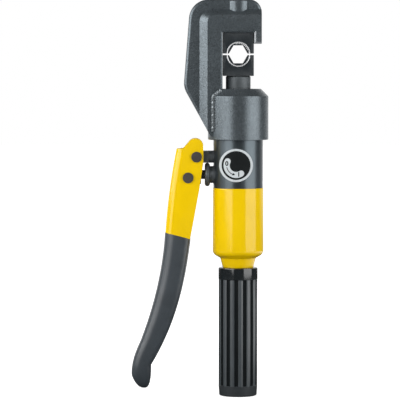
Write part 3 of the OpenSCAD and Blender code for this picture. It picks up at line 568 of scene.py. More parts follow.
def finish(name):
    """The material of a finish, made once."""
    if name in bpy.data.materials:
        return bpy.data.materials[name]
    rough, spread, metal, gloss, grain, depth, drift, fleck, bare = FINISHES[name]
    base = Vector(getattr(tool().finish, name))
    material = bpy.data.materials.new(name)
    material.use_nodes = True
    tree = material.node_tree
    shader = tree.nodes["Principled BSDF"]
    shader.inputs["Metallic"].default_value = metal
    shader.inputs["Specular IOR Level"].default_value = gloss
    place = add_node(tree, "TexCoord", {}).outputs["Object"]

    def noise(size, detail):
        """Noise with features of a size in millimetres."""
        inputs = {"Vector": place, "Scale": 1 / (size * MM), "Detail": detail}
        return add_node(tree, "TexNoise", inputs).outputs["Fac"]

    clouds = add_node(tree, "ValToRGB", {"Fac": noise(14, 5)})
    for stop, at, part in zip(clouds.color_ramp.elements, (0.32, 0.70), (1 - drift, 1 + drift)):
        stop.position = at
        stop.color = (*(base * part), 1)
    skin = clouds.outputs["Color"]
    if fleck:
        spots = ranged(tree, noise(0.8, 2), 0.36, 0.64, 1 - fleck, 1 + fleck)
        skin = add_node(tree, "VectorMath", {0: skin, "Scale": spots}, operation="SCALE").outputs["Vector"]
    if bare:
        edge = add_node(tree, "NewGeometry", {}).outputs["Pointiness"]
        worn = reckon(tree, "MULTIPLY", ranged(tree, edge, 0.53, 0.62, 0, bare), noise(2.5, 6))
        inputs = {"Fac": worn, "Color1": skin, "Color2": BARE_STEEL}
        skin = add_node(tree, "MixRGB", inputs).outputs["Color"]
    smear = ranged(tree, noise(4, 6), 0, 1, rough - spread, rough + spread)
    bump = add_node(tree, "Bump", {"Height": noise(grain, 3), "Strength": 1.0, "Distance": depth * MM})
    tree.links.new(skin, shader.inputs["Base Color"])
    tree.links.new(smear, shader.inputs["Roughness"])
    tree.links.new(bump.outputs["Normal"], shader.inputs["Normal"])
    return material


def head_outline(size, inset=0):
    """Outline of the flange from its right side over its top to its foot, or one just inside it."""
    top = high("c_head", "z") - inset
    left = low("c_head", "x")
    corner = arc(size.right - inset - size.corner, top - size.corner, size.corner, 0, 90, 12)
    crown_end = math.degrees(size.crown_end)
    bend_end = math.degrees(size.bend_end)
    crown = arc(size.crown_x, top - size.crown, size.crown, 90, crown_end, 16)
    bend = arc(left + size.crown, size.bend_z, size.crown, crown_end, bend_end, 8)
    return corner + crown + bend + [(size.foot_left, size.foot)]


def mouth(size):
    """Throat, jaw and lip, from the foot to the right side."""
    return [(size.throat, size.foot), (size.throat, size.jaw), (size.lip, size.jaw),
            (size.lip, size.lip_foot), (size.right, size.lip_foot)]


def in_mouth(size, p):
    """True for a place on the walls of the throat, jaw and lip."""
    if abs(p.x - size.throat) < TINY and p.z < size.jaw + TINY:
        return True
    if abs(p.z - size.jaw) < TINY and size.throat - TINY < p.x < size.lip + TINY:
        return True
    if abs(p.x - size.lip) < TINY and size.lip_foot - TINY < p.z < size.jaw + TINY:
        return True
    return abs(p.z - size.lip_foot) < TINY and p.x > size.lip - TINY


def head_flange(size):
    """C-shaped flange with its rounded outer edge."""
    flange = plate("head_casting", mouth(size) + head_outline(size), -size.flange, size.flange)

    def rim(edge):
        flat = both(edge, lambda p: abs(abs(p.y) - size.flange) < TINY)
        across = abs(edge.verts[0].co.y - edge.verts[1].co.y) > TINY
        foot = both(edge, lambda p: p.z < size.foot + TINY)
        return flat and not across and not foot and not both(edge, lambda p: in_mouth(size, p))

    pick(flange, "edges", rim)
    bevel(size.edge, 5)
    bpy.ops.object.mode_set(mode="OBJECT")
    return flange


def head_pad(size):
    """Raised pads front and back, with their sloped strips."""
    wide = size.pad_left - size.strip
    crest = size.pad_top + size.brow
    radius = size.pad_corner + size.brow
    corner = arc(wide + radius, crest - radius, radius, 90, 180, 12)
    outline = mouth(size) + [(size.right, crest)] + corner + [(wide, size.foot)]
    pad = plate("head_pad", outline, -size.flange, size.flange)
    rise = size.pad - size.flange
    centre = (wide + radius, crest - radius)
    shrink = size.pad_corner / radius
    slide = size.pad_left + size.pad_corner - centre[0]
    for side in (-1, 1):
        level = side * size.pad
        pick(pad, "faces", lambda f: f.normal.y * side > 0.9)
        extrude((0, side * rise, 0))

        def top(v):
            return abs(v.co.y - level) < TINY

        pick(pad, "verts", lambda v: top(v) and v.co.x < centre[0] + TINY and v.co.z > centre[1] - TINY)
        bpy.ops.transform.resize(value=(shrink, 1, shrink), center_override=(centre[0], level, centre[1]))
        bpy.ops.transform.translate(value=(slide, 0, 0))
        pick(pad, "verts", lambda v: top(v) and v.co.x < wide + TINY)
        bpy.ops.transform.translate(value=(size.strip, 0, 0))
        pick(pad, "verts", lambda v: top(v) and v.co.z > crest - TINY)
        bpy.ops.transform.translate(value=(0, 0, -size.brow))

    def lip(edge):
        flat = both(edge, lambda p: abs(abs(p.y) - size.pad) < TINY)
        return flat and both(edge, lambda p: in_mouth(size, p))

    pick(pad, "edges", lip)
    bevel(size.mouth_edge, 1)
    bpy.ops.object.mode_set(mode="OBJECT")
    inside = [(size.right - FIT, size.foot)] + head_outline(size, FIT)
    block = plate("head_block", inside, -2 * size.pad, 2 * size.pad)
    bpy.ops.object.mode_set(mode="OBJECT")
    combine(pad, block, "INTERSECT")
    return pad


# Steps of the bead's path up the collar and over its chamfer, and its share left of the throat
BEAD_UP = 36
BEAD_OVER = 12
BEAD_CLEAR = 0.3


def head_bead(size, side):
    """Lumpy cast bead along the meeting of the pad and the collar."""
    collar = high("c_head", "y")
    turn = high("rod_wiper", "z") - size.chamfer
    depth = side * size.pad
    foot = size.foot + size.bead_foot
    x = -math.sqrt(collar ** 2 - depth ** 2)
    points = [(x, depth, foot + (turn - foot) * k / BEAD_UP) for k in range(BEAD_UP + 1)]
    for k in range(1, BEAD_OVER + 1):
        radius = collar - size.chamfer * k / BEAD_OVER
        x = -math.sqrt(max(radius ** 2 - depth ** 2, 0))
        if x < size.throat - BEAD_CLEAR * size.bead:
            points.append((x, depth, turn + collar - radius))
    bead = tube("head_bead", points, size.bead, size.lumps)
    bead.data.materials.append(finish("coat"))
    bead.data.materials.append(finish("seam"))
    # Every face of the bead takes the seam finish, the coat painted lighter as a highlight along the bead.
    for face in bead.data.polygons:
        face.material_index = 1
    return bead


class CRIMPER_OT_head(bpy.types.Operator):
    """Models the C-shaped head with its pads, boss and collar"""
    bl_idname = "crimper.head"
    bl_label = "Head casting"

    def execute(self, context):
        size = tool().head
        foot = low("c_head", "z")
        crest = high("c_head", "z") - size.boss_drop
        collar = high("c_head", "y")
        top = high("rod_wiper", "z")
        edge = top - size.chamfer
        soft = size.soft
        ease = 0.35 * soft
        head = head_flange(size)
        for name in ("coat", "seam", "milled"):
            head.data.materials.append(finish(name))
        combine(head, head_pad(size), "UNION")
        boss = turned("boss", [
            (0, size.jaw), (size.boss, size.jaw),
            *arc(size.boss - size.boss_edge, crest - size.boss_edge, size.boss_edge, 0, 90, 5), (0, crest)])
        combine(head, boss, "UNION")
        ring = turned("collar", [
            (0, foot), (collar - soft, foot), (collar - ROUND * soft, foot + ROUND * soft),
            (collar, foot + soft), (collar, edge - soft), (collar - ease, edge + ease),
            (collar - size.chamfer, top), (0, top)])
        combine(head, ring, "UNION")
        for side in (-1, 1):
            combine(head, head_bead(size, side), "UNION")
        spigot = high("head_seal", "x") + FIT
        bore = high("piston_seal", "x") + FIT
        seat = high("pump_body", "z")
        roof = high("return_spring", "z") + FIT
        wiper = high("rod_wiper", "x") + FIT
        ledge = low("rod_wiper", "z") - FIT
        hollow = turned("hollow", [
            (0, foot - PAST), (spigot, foot - PAST), (spigot, seat), (bore, seat), (bore, roof),
            (size.rod + RUN, roof), (size.rod + RUN, ledge), (wiper, ledge), (wiper, top + PAST),
            (0, top + PAST)])
        combine(head, hollow, "DIFFERENCE")
        stem = tool().dies.stem + FIT
        tip = high("upper_die", "z") + FIT
        socket = turned("socket", [
            (0, size.jaw - PAST), (stem, size.jaw - PAST), (stem, tip), (0, tip)])
        combine(head, socket, "DIFFERENCE")
        screw = (high("die_set_screw", "x") - low("die_set_screw", "x")) / 2 + FIT
        level = (high("die_set_screw", "z") + low("die_set_screw", "z")) / 2
        hole = turned("hole", [(0, 0), (screw, 0), (screw, 2 * size.pad), (0, 2 * size.pad)], level, 48)
        combine(head, hole, "DIFFERENCE")
        clean(head)
        # The lip's chamfer faces take the milled finish: bare steel, and a painted highlight that the jaw
        # and throat chamfers don't get.
        for face in head.data.polygons:
            beside = size.lip_foot - TINY < face.center.z < size.jaw + size.mouth_edge
            slanted = 0.3 < abs(face.normal.y) < 0.95
            if beside and slanted and face.center.x > size.lip - TINY:
                face.material_index = 2
        done(head, "coat", "frame", ["c_head"], 24)
        return {"FINISHED"}


def die(name, size, split, away):
    """One die with half the hexagon in its split face, away being up or down from it."""
    back = split + away * size.height
    apothem = size.flat / 2
    corner = size.flat / math.sqrt(3)
    block = plate(name, [
        (-size.half, back), (size.half, back), (size.half, split), (corner, split),
        (corner / 2, split + away * apothem), (-corner / 2, split + away * apothem),
        (-corner, split), (-size.half, split)], -size.depth, size.depth)
    pick(block, "edges", lambda e: both(e, lambda p: abs(p.x) > corner + TINY or abs(p.z - back) < TINY))
    bevel(size.edge, 2)
    bpy.ops.object.mode_set(mode="OBJECT")
    floor = size.ring - size.recess
    for side in (-1, 1):
        face = side * size.depth
        deep = side * (size.depth - size.recess)
        out = face + side * size.recess
        cone = turned("cone", [
            (0, deep), (floor, deep), (size.ring, face), (size.ring + size.recess, out), (0, out)], split)
        combine(block, cone, "DIFFERENCE")
    return block


def polish(obj, size, split):
    """Gives the turned ring round the hexagon its bright steel."""
    obj.data.materials.append(finish("oxide"))
    obj.data.materials.append(finish("ring"))
    inner = size.ring - size.recess - TINY
    outer = size.ring + TINY
    for face in obj.data.polygons:
        corners = [obj.data.vertices[v].co for v in face.vertices]
        reach = [math.hypot(p.x, p.z - split) for p in corners]
        slanted = abs(face.normal.y) < 0.9 and abs(face.center.y) > size.depth - size.recess
        if slanted and min(reach) > inner and max(reach) < outer:
            face.material_index = 1


def ticks(size, split):
    """Plain ticks on the recess inside the ring."""
    reach = size.ring - size.recess - size.tick_gap
    deep = -(size.depth - size.recess)
    start = math.degrees(size.tick_from)
    end = start + math.degrees(size.tick_turn)
    outline = arc(0, split, reach - size.tick, start, end, 2) + arc(0, split, reach, end, start, 2)
    row = plate("ticks", outline, deep - size.tick_up, deep + RUN)
    bpy.ops.mesh.select_all(action="SELECT")
    bpy.ops.mesh.spin(
        steps=size.ticks, dupli=True, angle=size.tick_row, center=(0, 0, split), axis=(0, 1, 0))
    bpy.ops.object.mode_set(mode="OBJECT")
    row.data.materials.append(finish("ring"))
    return row


class CRIMPER_OT_dies(bpy.types.Operator):
    """Models both hexagon dies with their polished rings and plain ticks"""
    bl_idname = "crimper.dies"
    bl_label = "Crimping dies"

    def execute(self, context):
        size = tool().dies
        rows = (
            ("die_lower", "lower_die", "ram", size.lower + size.height, -1, "lower_die_ring"),
            ("die_upper", "upper_die", "frame", size.upper, 1, "die_set_screw"),
        )
        for name, node, body, split, away, keeper in rows:
            piece = die(name, size, split, away)
            seat = split + away * size.height
            tip = high(node, "z") if away > 0 else low(node, "z")
            ends = sorted((low(keeper, "z"), high(keeper, "z")), key=lambda z: abs(z - seat))
            root = seat - away * PAST
            near = ends[0] - away * RUN
            far = ends[1] + away * RUN
            waist = size.stem - size.groove
            profile = [
                (0, root), (size.stem, root), (size.stem, near), (waist, near), (waist, far),
                (size.stem, far), (size.stem, tip - away * size.stem_edge),
                (size.stem - size.stem_edge, tip), (0, tip)]
            combine(piece, turned("stem", profile), "UNION")
            clean(piece)
            polish(piece, size, split)
            if away > 0:
                join(piece, [ticks(size, split)])
            done(piece, "oxide", body, [node], 30)
        return {"FINISHED"}


def curl(obj, radius):
    """Lays a flat shape on the pump body's round front."""
    for corner in obj.data.vertices:
        corner.co.y = -math.sqrt(radius ** 2 - corner.co.x ** 2)


def print_layer(name, outline, lift, thick, ink):
    """One printed layer of the label as a thin curved sheet."""
    size = tool().label
    sheet = line(name, [(size.x + x, 0, size.z + z) for x, z in outline])
    bpy.ops.mesh.edge_face_add()
    lay(sheet, lift, thick, ink)
    return sheet


def lay(sheet, lift, thick, ink):
    """Cuts a flat shape in strips, curls it and gives it thickness, from edit mode."""
    size = tool().label
    body = high("pump_body", "y")
    x = size.x - size.rim
    while x < size.x + size.rim:
        bpy.ops.mesh.select_all(action="SELECT")
        bpy.ops.mesh.bisect(plane_co=(x, 0, 0), plane_no=(1, 0, 0))
        x += size.slice
    bpy.ops.mesh.select_all(action="SELECT")
    bpy.ops.mesh.normals_make_consistent(inside=False)
    bpy.ops.object.mode_set(mode="OBJECT")
    curl(sheet, body + lift)
    if sheet.data.polygons[0].normal.y > 0:
        bpy.ops.object.mode_set(mode="EDIT")
        bpy.ops.mesh.select_all(action="SELECT")
        bpy.ops.mesh.flip_normals()
        bpy.ops.object.mode_set(mode="OBJECT")
    apply(sheet, "SOLIDIFY", thickness=thick, offset=1.0)
    sheet.data.materials.clear()
    sheet.data.materials.append(finish(ink))


def band(inner, outer, start, end, steps=40):
    """Outline of a ring's part between two angles with round ends."""
    half = (outer - inner) / 2
    middle = (outer + inner) / 2
    first = arc(*spot(middle, start), half, start + 180, start + 360, 12)[1:-1]
    last = arc(*spot(middle, end), half, end, end + 180, 12)[1:-1]
    return arc(0, 0, outer, start, end, steps) + last + arc(0, 0, inner, end, start, steps) + first


def dial_mark(text, turn, reach, lift):
    """One printed mark on the label's band."""
    size = tool().label
    bpy.ops.object.select_all(action="DESELECT")
    bpy.ops.object.text_add(rotation=(math.pi / 2, 0, 0))
    mark = bpy.context.object
    mark.data.body = text
    mark.data.size = size.mark_size
    mark.data.offset = size.mark_weight
    mark.data.align_x = "CENTER"
    mark.data.align_y = "CENTER"
    bpy.ops.object.convert(target="MESH")
    mark = bpy.context.object
    x, z = spot(reach, turn)
    mark.location = (size.x + x, 0, size.z + z)
    bpy.ops.object.transform_apply(location=True, rotation=True, scale=True)
    bpy.ops.object.mode_set(mode="EDIT")
    lay(mark, lift, size.ink, "dark")
    return mark


class CRIMPER_OT_label(bpy.types.Operator):
    """Models the round label with its arrow and the marks 0 and 1"""
    bl_idname = "crimper.label"
    bl_label = "Round label"

    def execute(self, context):
        size = tool().label
        start = math.degrees(size.band_start)
        end = math.degrees(size.band_end)
        middle = (size.band_in + size.band_out) / 2
        face = FIT + size.sheet
        top = face + 2 * size.ink
        rim = print_layer("dial_label", arc(0, 0, size.rim, 0, 360, 96)[:-1], FIT, size.sheet, "pale")
        field = print_layer("dial_field", arc(0, 0, size.field, 0, 360, 96)[:-1], face, size.ink, "dark")
        ring = band(size.band_in, size.band_out, start, end)
        strip = print_layer("dial_band", ring, face + size.ink, size.ink, "pale")
        tail = start + math.degrees(size.tail)
        point = end - math.degrees(size.point)
        tip = point + math.degrees(4 * size.arrow / middle)
        half = size.arrow / 2
        barbs = [spot(middle + 4 * half, point), spot(middle, tip), spot(middle - 4 * half, point)]
        shaft = arc(0, 0, middle + half, tail, point, 24) + barbs + arc(0, 0, middle - half, point, tail, 24)
        arrow = print_layer("dial_arrow", shaft, top, size.ink, "dark")
        turn = math.degrees(size.mark)
        marks = [dial_mark("0", start + turn, middle, top), dial_mark("1", end - turn, middle, top)]
        join(rim, [field, strip, arrow, *marks])
        done(rim, "pale", "frame", ["label_plate"], 30, False)
        return {"FINISHED"}


class CRIMPER_OT_barrel(bpy.types.Operator):
    """Models the reservoir's barrel with its drawn-in neck"""
    bl_idname = "crimper.barrel"
    bl_label = "Reservoir barrel"

    def execute(self, context):
        size = tool().barrel
        r = high("reservoir_barrel", "x")
        foot = low("reservoir_barrel", "z")
        top = high("reservoir_barrel", "z")
        neck = high("grip_sleeve", "z") + size.gap
        under = low("grip_circlip", "z") - FIT
        over = high("grip_circlip", "z") + FIT
        bore = high("barrel_seal", "x") + FIT
        soft = ROUND * size.edge
        shoulder = arc(r - size.shoulder, size.straight, size.shoulder, -math.degrees(size.slope), 0, 10)
        outside = [
            (size.stem, foot), (size.spigot, foot), (size.spigot, under), (size.groove, under),
            (size.groove, over), (size.spigot, over), (size.spigot, neck), (size.neck, neck),
            (size.crease, size.straight - size.drawn), *shoulder,
            (r, top - size.edge), (r - soft, top - soft), (r - size.edge, top)]
        inside = [
            (bore, top), (bore, size.ledge), (size.room, size.ledge), (size.room, size.floor),
            (size.tube, size.floor), (size.tube, size.straight), (size.stem, size.straight)]
        barrel = turned("drawn_barrel", outside + inside, steps=144, loop=True)
        done(barrel, "yellow", "frame", ["reservoir_barrel"], 30)
        return {"FINISHED"}


# Steps across a land and across a groove of the grip
LAND_STEPS = 6
GROOVE_STEPS = 10


def grip_outline(size):
    """Outline of lands and grooves seen from above."""
    outline = []
    pitch = math.tau / size.flutes
    gap = pitch - size.land
    skin = size.radius - size.step
    for k in range(size.flutes):
        start = size.turn + pitch * (k + 0.5) - math.pi / 2 - size.land / 2
        for step in range(LAND_STEPS):
            off = 2 * step / LAND_STEPS - 1
            outline.append((start + size.land * step / LAND_STEPS, skin - size.crown * off ** 2))
        for step in range(GROOVE_STEPS + 1):
            turn = math.pi * step / GROOVE_STEPS
            deep = size.crown + (size.flutes_d - size.crown) * math.sin(turn) ** size.flutes_full
            outline.append((start + size.land + gap * (1 - math.cos(turn)) / 2, skin - deep))
    return [(r * math.cos(t), r * math.sin(t)) for t, r in outline]


class CRIMPER_OT_grip(bpy.types.Operator):
    """Models the fluted twist grip"""
    bl_idname = "crimper.grip"
    bl_label = "Twist grip"

    def execute(self, context):
        size = tool().grip
        top = high("grip_sleeve", "z")
        core = high("grip_core", "x") + FIT
        floor = low("grip_core", "z") - FIT
        r = size.radius
        end = r - size.taper
        rim = size.rim
        soft = ROUND * rim
        seam = r - size.foot_in
        waist = r - size.step - size.flutes_d - size.under
        first = size.foot
        last = top - size.top
        grip = turned("fluted_grip", [
            (0, 0), (end - rim, 0), (end - soft, soft), (end, rim),
            (seam, first - size.foot_edge), (seam - size.foot_edge, first), (waist, first), (waist, last),
            (r - size.band_edge, last), (r, last + size.band_edge), (r, top - rim), (r - soft, top - soft),
            (r - rim, top), (core, top), (core, floor), (0, floor)], steps=126)
        bars = line("bars", [(x, y, first - LAP) for x, y in grip_outline(size)])
        bpy.ops.mesh.edge_face_add()
        extrude((0, 0, last - first + 2 * LAP))
        close_up()
        bpy.ops.object.mode_set(mode="OBJECT")
        bore = turned("bore", [
            (0, first - PAST), (waist - PAST, first - PAST), (waist - PAST, last + PAST), (0, last + PAST)])
        combine(bars, bore, "DIFFERENCE")
        combine(grip, bars, "UNION")
        for name in ("rubber", "land", "groove", "foot"):
            grip.data.materials.append(finish(name))
        # Faces beyond brink are the lands with their painted light, those inside it are the groove floors
        # with their painted shade; the foot band gets its painted light.
        brink = r - size.step - size.crown - FIT - TINY
        for face in grip.data.polygons:
            reach = math.hypot(face.center.x, face.center.y)
            if face.center.z < first + RUN:
                face.material_index = 3
            elif face.center.z < last and core < reach and abs(face.normal.z) < 0.5:
                face.material_index = 1 if reach > brink else 2
        done(grip, "rubber", "grip", ["grip_sleeve"], 40)
        return {"FINISHED"}


def joint_normal(size):
    """Upward normal of the slanted joint between channel and sleeve."""
    return Vector((math.sin(size.tilt), 0, math.cos(size.tilt)))


def joint_place(size, below):
    """A place on the slanted joint, or some way below it."""
    return Vector((size.x + size.joint_x, 0, size.z + size.joint_z)) - joint_normal(size) * below


# Places on the lever's cheeks in millimetres, across and up from the fulcrum
CHEEK_NOSE = (5.4, -4)
CHEEK_CROWN = (-1.1, 8.3)
CHEEK_NOTCH = ((-9.9, 7.9), (-11.0, 6.9))
CHEEK_INNER = ((-5.4, -67.2), (2, -27.2))
WEB_TOP = 6.7
# How far the web goes down past the sleeve's top in millimetres, and its steps
WEB_LAP = 6
WEB_STEPS = 14


def metres(*places):
    """Places given in millimetres."""
    return [(x * MM, z * MM) for x, z in places]


class CRIMPER_OT_lever(bpy.types.Operator):
    """Models the pressed channel of the pump lever"""
    bl_idname = "crimper.lever"
    bl_label = "Lever channel"

    def execute(self, context):
        size = tool().lever
        half = size.width / 2
        bow_x = size.web_x + size.web_bow * math.cos(size.web_lean)
        bow_z = size.web_z - size.web_bow * math.sin(size.web_lean)

        def web(z):
            return bow_x - math.sqrt(size.web_bow ** 2 - (z - bow_z) ** 2)

        web_top = WEB_TOP * MM
        foot = size.sleeve_z - WEB_LAP * MM
        levels = [web_top + (foot - web_top) * k / WEB_STEPS for k in range(WEB_STEPS + 1)]
        outline = metres(CHEEK_NOSE)
        outline += arc(*metres(CHEEK_CROWN)[0], size.round, 0, 135, 12)
        outline += metres(*CHEEK_NOTCH)
        outline += [(web(z), z) for z in levels]
        outline += metres(*CHEEK_INNER)
        outline = [(x + size.x, z + size.z) for x, z in outline]
        channel = plate("pressed_channel", outline, -half, half)

        def on_web(p):
            return abs(p.x - size.x - web(p.z - size.z)) < TINY and p.z - size.z < web_top + TINY

        pick(channel, "edges", lambda e: both(e, on_web) and abs(e.verts[0].co.y - e.verts[1].co.y) < TINY)
        bevel(size.bend, 9)

        def open_side(face):
            if abs(face.normal.y) > 0.05:
                return False
            middle = face.calc_center_median()
            return middle.x > size.x + web(middle.z - size.z) + LAP

        pick(channel, "faces", open_side)
        bpy.ops.mesh.delete(type="FACE")
        pick(channel, "faces", lambda f: abs(f.normal.z) > 0.7)
        bpy.ops.mesh.delete(type="FACE")
        bpy.ops.mesh.select_all(action="SELECT")
        bpy.ops.mesh.normals_make_consistent(inside=False)
        cut = joint_place(size, size.joint_lap)
        bpy.ops.mesh.bisect(plane_co=cut, plane_no=joint_normal(size), clear_inner=True)
        apply(channel, "SOLIDIFY", thickness=size.sheet, offset=-1.0, use_even_offset=True)
        apply(channel, "BEVEL", width=size.edge, segments=2, limit_method="ANGLE", angle_limit=BREAK)
        clean(channel)
        done(channel, "yellow", "lever", ["lever_channel"], 35)
        return {"FINISHED"}


def eased(z, first, heel, last):
    """Side of a rounded heel at a height, on a parabola between two places."""
    bend = first[0] - 2 * heel[0] + last[0]
    slope = heel[0] - first[0]
    t = (-slope - math.sqrt(slope ** 2 - bend * (first[0] - z))) / bend
    return (1 - t) ** 2 * first[1] + 2 * t * (1 - t) * heel[1] + t ** 2 * last[1]


def curve(points, t):
    """A place on a cubic curve of four points."""
    share = ((1 - t) ** 3, 3 * t * (1 - t) ** 2, 3 * t ** 2 * (1 - t), t ** 3)
    return [sum(s * p[k] for s, p in zip(share, points)) for k in range(4)]


# Shares of the sweep that the sleeve's left and right sides take at each third of its length
SWEEP = ((0.07, 0.145), (0.413, 0.378))
# Curve of the sleeve's tip from its start: share of the tip's height, then the left side,
# the right side and the half depth in millimetres
TIP = ((0.39, -0.7, 0.1, 0), (1, 4.3, -0.1, -3), (1, 10.3, -4.9, -8))
TIP_THIN = 1.8
# The tip's rounded heel in millimetres: where it starts, and its corner above and right of the tip's start
HEEL_RUN = 18
HEEL = (3.5, 0.5)
# How square the sleeve's section is on its right and its left, and the steps along and round it
SQUARE = (4.5, 2.8)
LONG_STEPS = 40
TIP_STEPS = 16
SIDES = 56


class CRIMPER_OT_sleeve(bpy.types.Operator):
    """Models the soft sleeve of the pump lever"""
    bl_idname = "crimper.sleeve"
    bl_label = "Lever sleeve"

    def execute(self, context):
        size = tool().lever
        a = (size.sleeve_z, size.sleeve_x, size.sleeve_x + size.sleeve_w, size.sleeve_d / 2)
        b, c = [(a[0] - k * size.sleeve_len / 3, a[1] - left * size.sweep, a[2] - right * size.sweep, a[3])
                for k, (left, right) in enumerate(SWEEP, 1)]
        out = a[1] - size.sweep
        d = (a[0] - size.sleeve_len, out, out + size.tip_w, a[3] - TIP_THIN * MM)
        e, f, g = [(d[0] - drop * size.tip_h, d[1] + left * MM, d[2] + right * MM, d[3] + depth * MM)
                   for drop, left, right, depth in TIP]
        stations = [curve((a, b, c, d), k / LONG_STEPS) for k in range(LONG_STEPS + 1)]
        stations += [curve((d, e, f, g), k / TIP_STEPS) for k in range(1, TIP_STEPS + 1)]
        first = curve((a, b, c, d), 1 - HEEL_RUN * MM / size.sleeve_len)
        last = curve((d, e, f, g), 1 / 3)
        heel = (d[0] + HEEL[0] * MM, d[1] + HEEL[1] * MM)
        for station in stations:
            if last[0] < station[0] < first[0]:
                station[1] = eased(station[0], first, heel, last)
        z, left, right, depth = stations[0]
        middle = (left + right) / 2
        half = (right - left) / 2
        ring = []
        for k in range(SIDES):
            turn = math.tau * k / SIDES
            power = 2 / SQUARE[0] if math.cos(turn) > 0 else 2 / SQUARE[1]
            x = math.copysign(abs(math.cos(turn)) ** power, math.cos(turn)) * half
            y = math.copysign(abs(math.sin(turn)) ** power, math.sin(turn)) * depth
            ring.append((size.x + middle + x, y, size.z + z))
        sleeve = line("soft_sleeve", ring)
        bpy.ops.mesh.edge_face_add()
        for here, there in zip(stations, stations[1:]):
            shift = (there[1] + there[2] - here[1] - here[2]) / 2
            extrude((shift, 0, there[0] - here[0]))
            grow = ((there[2] - there[1]) / (here[2] - here[1]), there[3] / here[3], 1)
            centre = (size.x + (there[1] + there[2]) / 2, 0, size.z + there[0])
            bpy.ops.transform.resize(value=grow, center_override=centre)
        close_up()
        cut = joint_place(size, 0)
        normal = joint_normal(size)
        bpy.ops.mesh.select_all(action="SELECT")
        bpy.ops.mesh.bisect(plane_co=cut, plane_no=normal, use_fill=True, clear_outer=True)
        close_up()
        pick(sleeve, "edges", lambda e: both(e, lambda p: abs((p - cut).dot(normal)) < TINY))
        bevel(size.mouth, 3)
        bpy.ops.object.mode_set(mode="OBJECT")
        clean(sleeve)
        done(sleeve, "sleeve", "lever", ["lever_sleeve"], 40)
        return {"FINISHED"}


# Steps in one turn of a spring
COIL_STEPS = 20


class CRIMPER_OT_springs(bpy.types.Operator):
    """Models the springs as coils of wire in the places of their imported nodes"""
    bl_idname = "crimper.springs"
    bl_label = "Springs"

    def execute(self, context):
        size = tool().springs
        rows = (
            ("return_spring", "ram", "z", size.ram, 2.5),
            ("inlet_spring", "inlet_valve", "z", size.valve, 7),
            ("outlet_spring", "outlet_valve", "z", size.valve, 5),
            ("relief_spring", "relief_valve", "-z", size.relief, 2.5),
        )
        for node, pressed_by, push, wire, turns in rows:
            foot = Vector(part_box(node)[0])
            top = Vector(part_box(node)[1])
            middle = (foot + top) / 2
            reach = (top.x - foot.x) / 2 - wire
            rise = top.z - foot.z - 2 * wire
            dead = 2 * wire * size.closed
            active = (rise - 2 * dead) / (turns - 2 * size.closed)
            points = []
            for k in range(round(turns * COIL_STEPS) + 1):
                turn = k / COIL_STEPS
                height = 2 * wire * min(turn, size.closed)
                height += active * min(max(turn - size.closed, 0), turns - 2 * size.closed)
                height += 2 * wire * max(turn - turns + size.closed, 0)
                x = middle.x + reach * math.cos(math.tau * turn)
                y = middle.y + reach * math.sin(math.tau * turn)
                points.append((x, y, foot.z + wire + height))
            spring = tube(node + "_coil", points, wire, 0)
            done(spring, "steel", None, [node], 40)
            ends = [(middle.x, middle.y, foot.z), (middle.x, middle.y, top.z)]
            if push == "-z":
                ends.reverse()
            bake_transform(spring)
        return {"FINISHED"}


SLOT_FINISH = {
    "grey_coat": "pump", "yellow_paint": "yellow", "black_oxide": "oxide", "ram_steel": "rod",
    "bright_steel": "steel", "brass": "brass", "grip_rubber": "rubber", "seal_rubber": "seal",
    "bladder_rubber": "bladder", "label": "pale",
}
NODE_FINISH = {
    "fulcrum_pin": "pin", "plunger_pin": "pin", "fulcrum_lug": "nut", "gland_nut": "nut", "plunger": "nut",
}
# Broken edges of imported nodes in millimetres
BROKEN_EDGES = {
    "fulcrum_lug": 0.4, "plunger": 0.4, "fulcrum_pin": 0.4, "plunger_pin": 0.4, "gland_nut": 0.2,
}


class CRIMPER_OT_solids(bpy.types.Operator):
    """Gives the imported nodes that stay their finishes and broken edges"""
    bl_idname = "crimper.solids"
    bl_label = "Other pieces"

    def execute(self, context):
        for name, obj in NODES.items():
            for slot in obj.material_slots:
                key = slot.material.name.split(".")[0]
                if key in SLOT_FINISH:
                    slot.material = finish(SLOT_FINISH[key])
            if name in NODE_FINISH:
                obj.material_slots[0].material = finish(NODE_FINISH[name])
            if name in BROKEN_EDGES:
                width = BROKEN_EDGES[name] * MM
                modifier(obj, "WELD", merge_threshold=WELD)
                modifier(obj, "BEVEL", width=width, segments=2, limit_method="ANGLE", angle_limit=BREAK)
                modifier(obj, "WEIGHTED_NORMAL", keep_sharp=True, weight=100)
        return {"FINISHED"}


# Soft boxes: azimuth from the camera's axis, height of the foot, width, height, roll and brightness,
# in degrees and metres
LAMPS = {
    "box_right": (59.5, 0.02, 0.98, 0.95, 0, 2.75),
    "box_left": (-43.5, 0.083, 0.68, 0.85, 7, 3.0),
    "box_side": (-80, 0.225, 0.64, 0.70, 0, 3.7),
}
LENS = 222.9
SENSOR = 36
EYE = (-0.0308, -2.0, 0.270)
TARGET = (-0.0308, 0, 0.15845)
FLOOR_SIZE = 12
FLOOR_COLOUR = 0.8


def lamp(name, azimuth, foot, width, tall, roll, radiance):
    """A soft box a metre off."""
    light = bpy.data.lights.new(name, "AREA")
    light.shape = "RECTANGLE"
    light.size = width
    light.size_y = tall
    light.energy = radiance * math.pi * width * tall
    obj = bpy.data.objects.new(name, light)
    bpy.context.collection.objects.link(obj)
    turn = math.radians(azimuth)
    obj.location = (math.sin(turn), -math.cos(turn), foot + tall / 2)
    obj.rotation_euler = (math.pi / 2, math.radians(roll), turn)


def rays(owner):
    """The emptied node tree of a world or material, and its flags for each kind of ray."""
    owner.use_nodes = True
    tree = owner.node_tree
    tree.nodes.clear()
    path = add_node(tree, "LightPath", {}).outputs
    return tree, [path[f"Is {kind} Ray"] for kind in ("Camera", "Glossy", "Transmission", "Diffuse")]


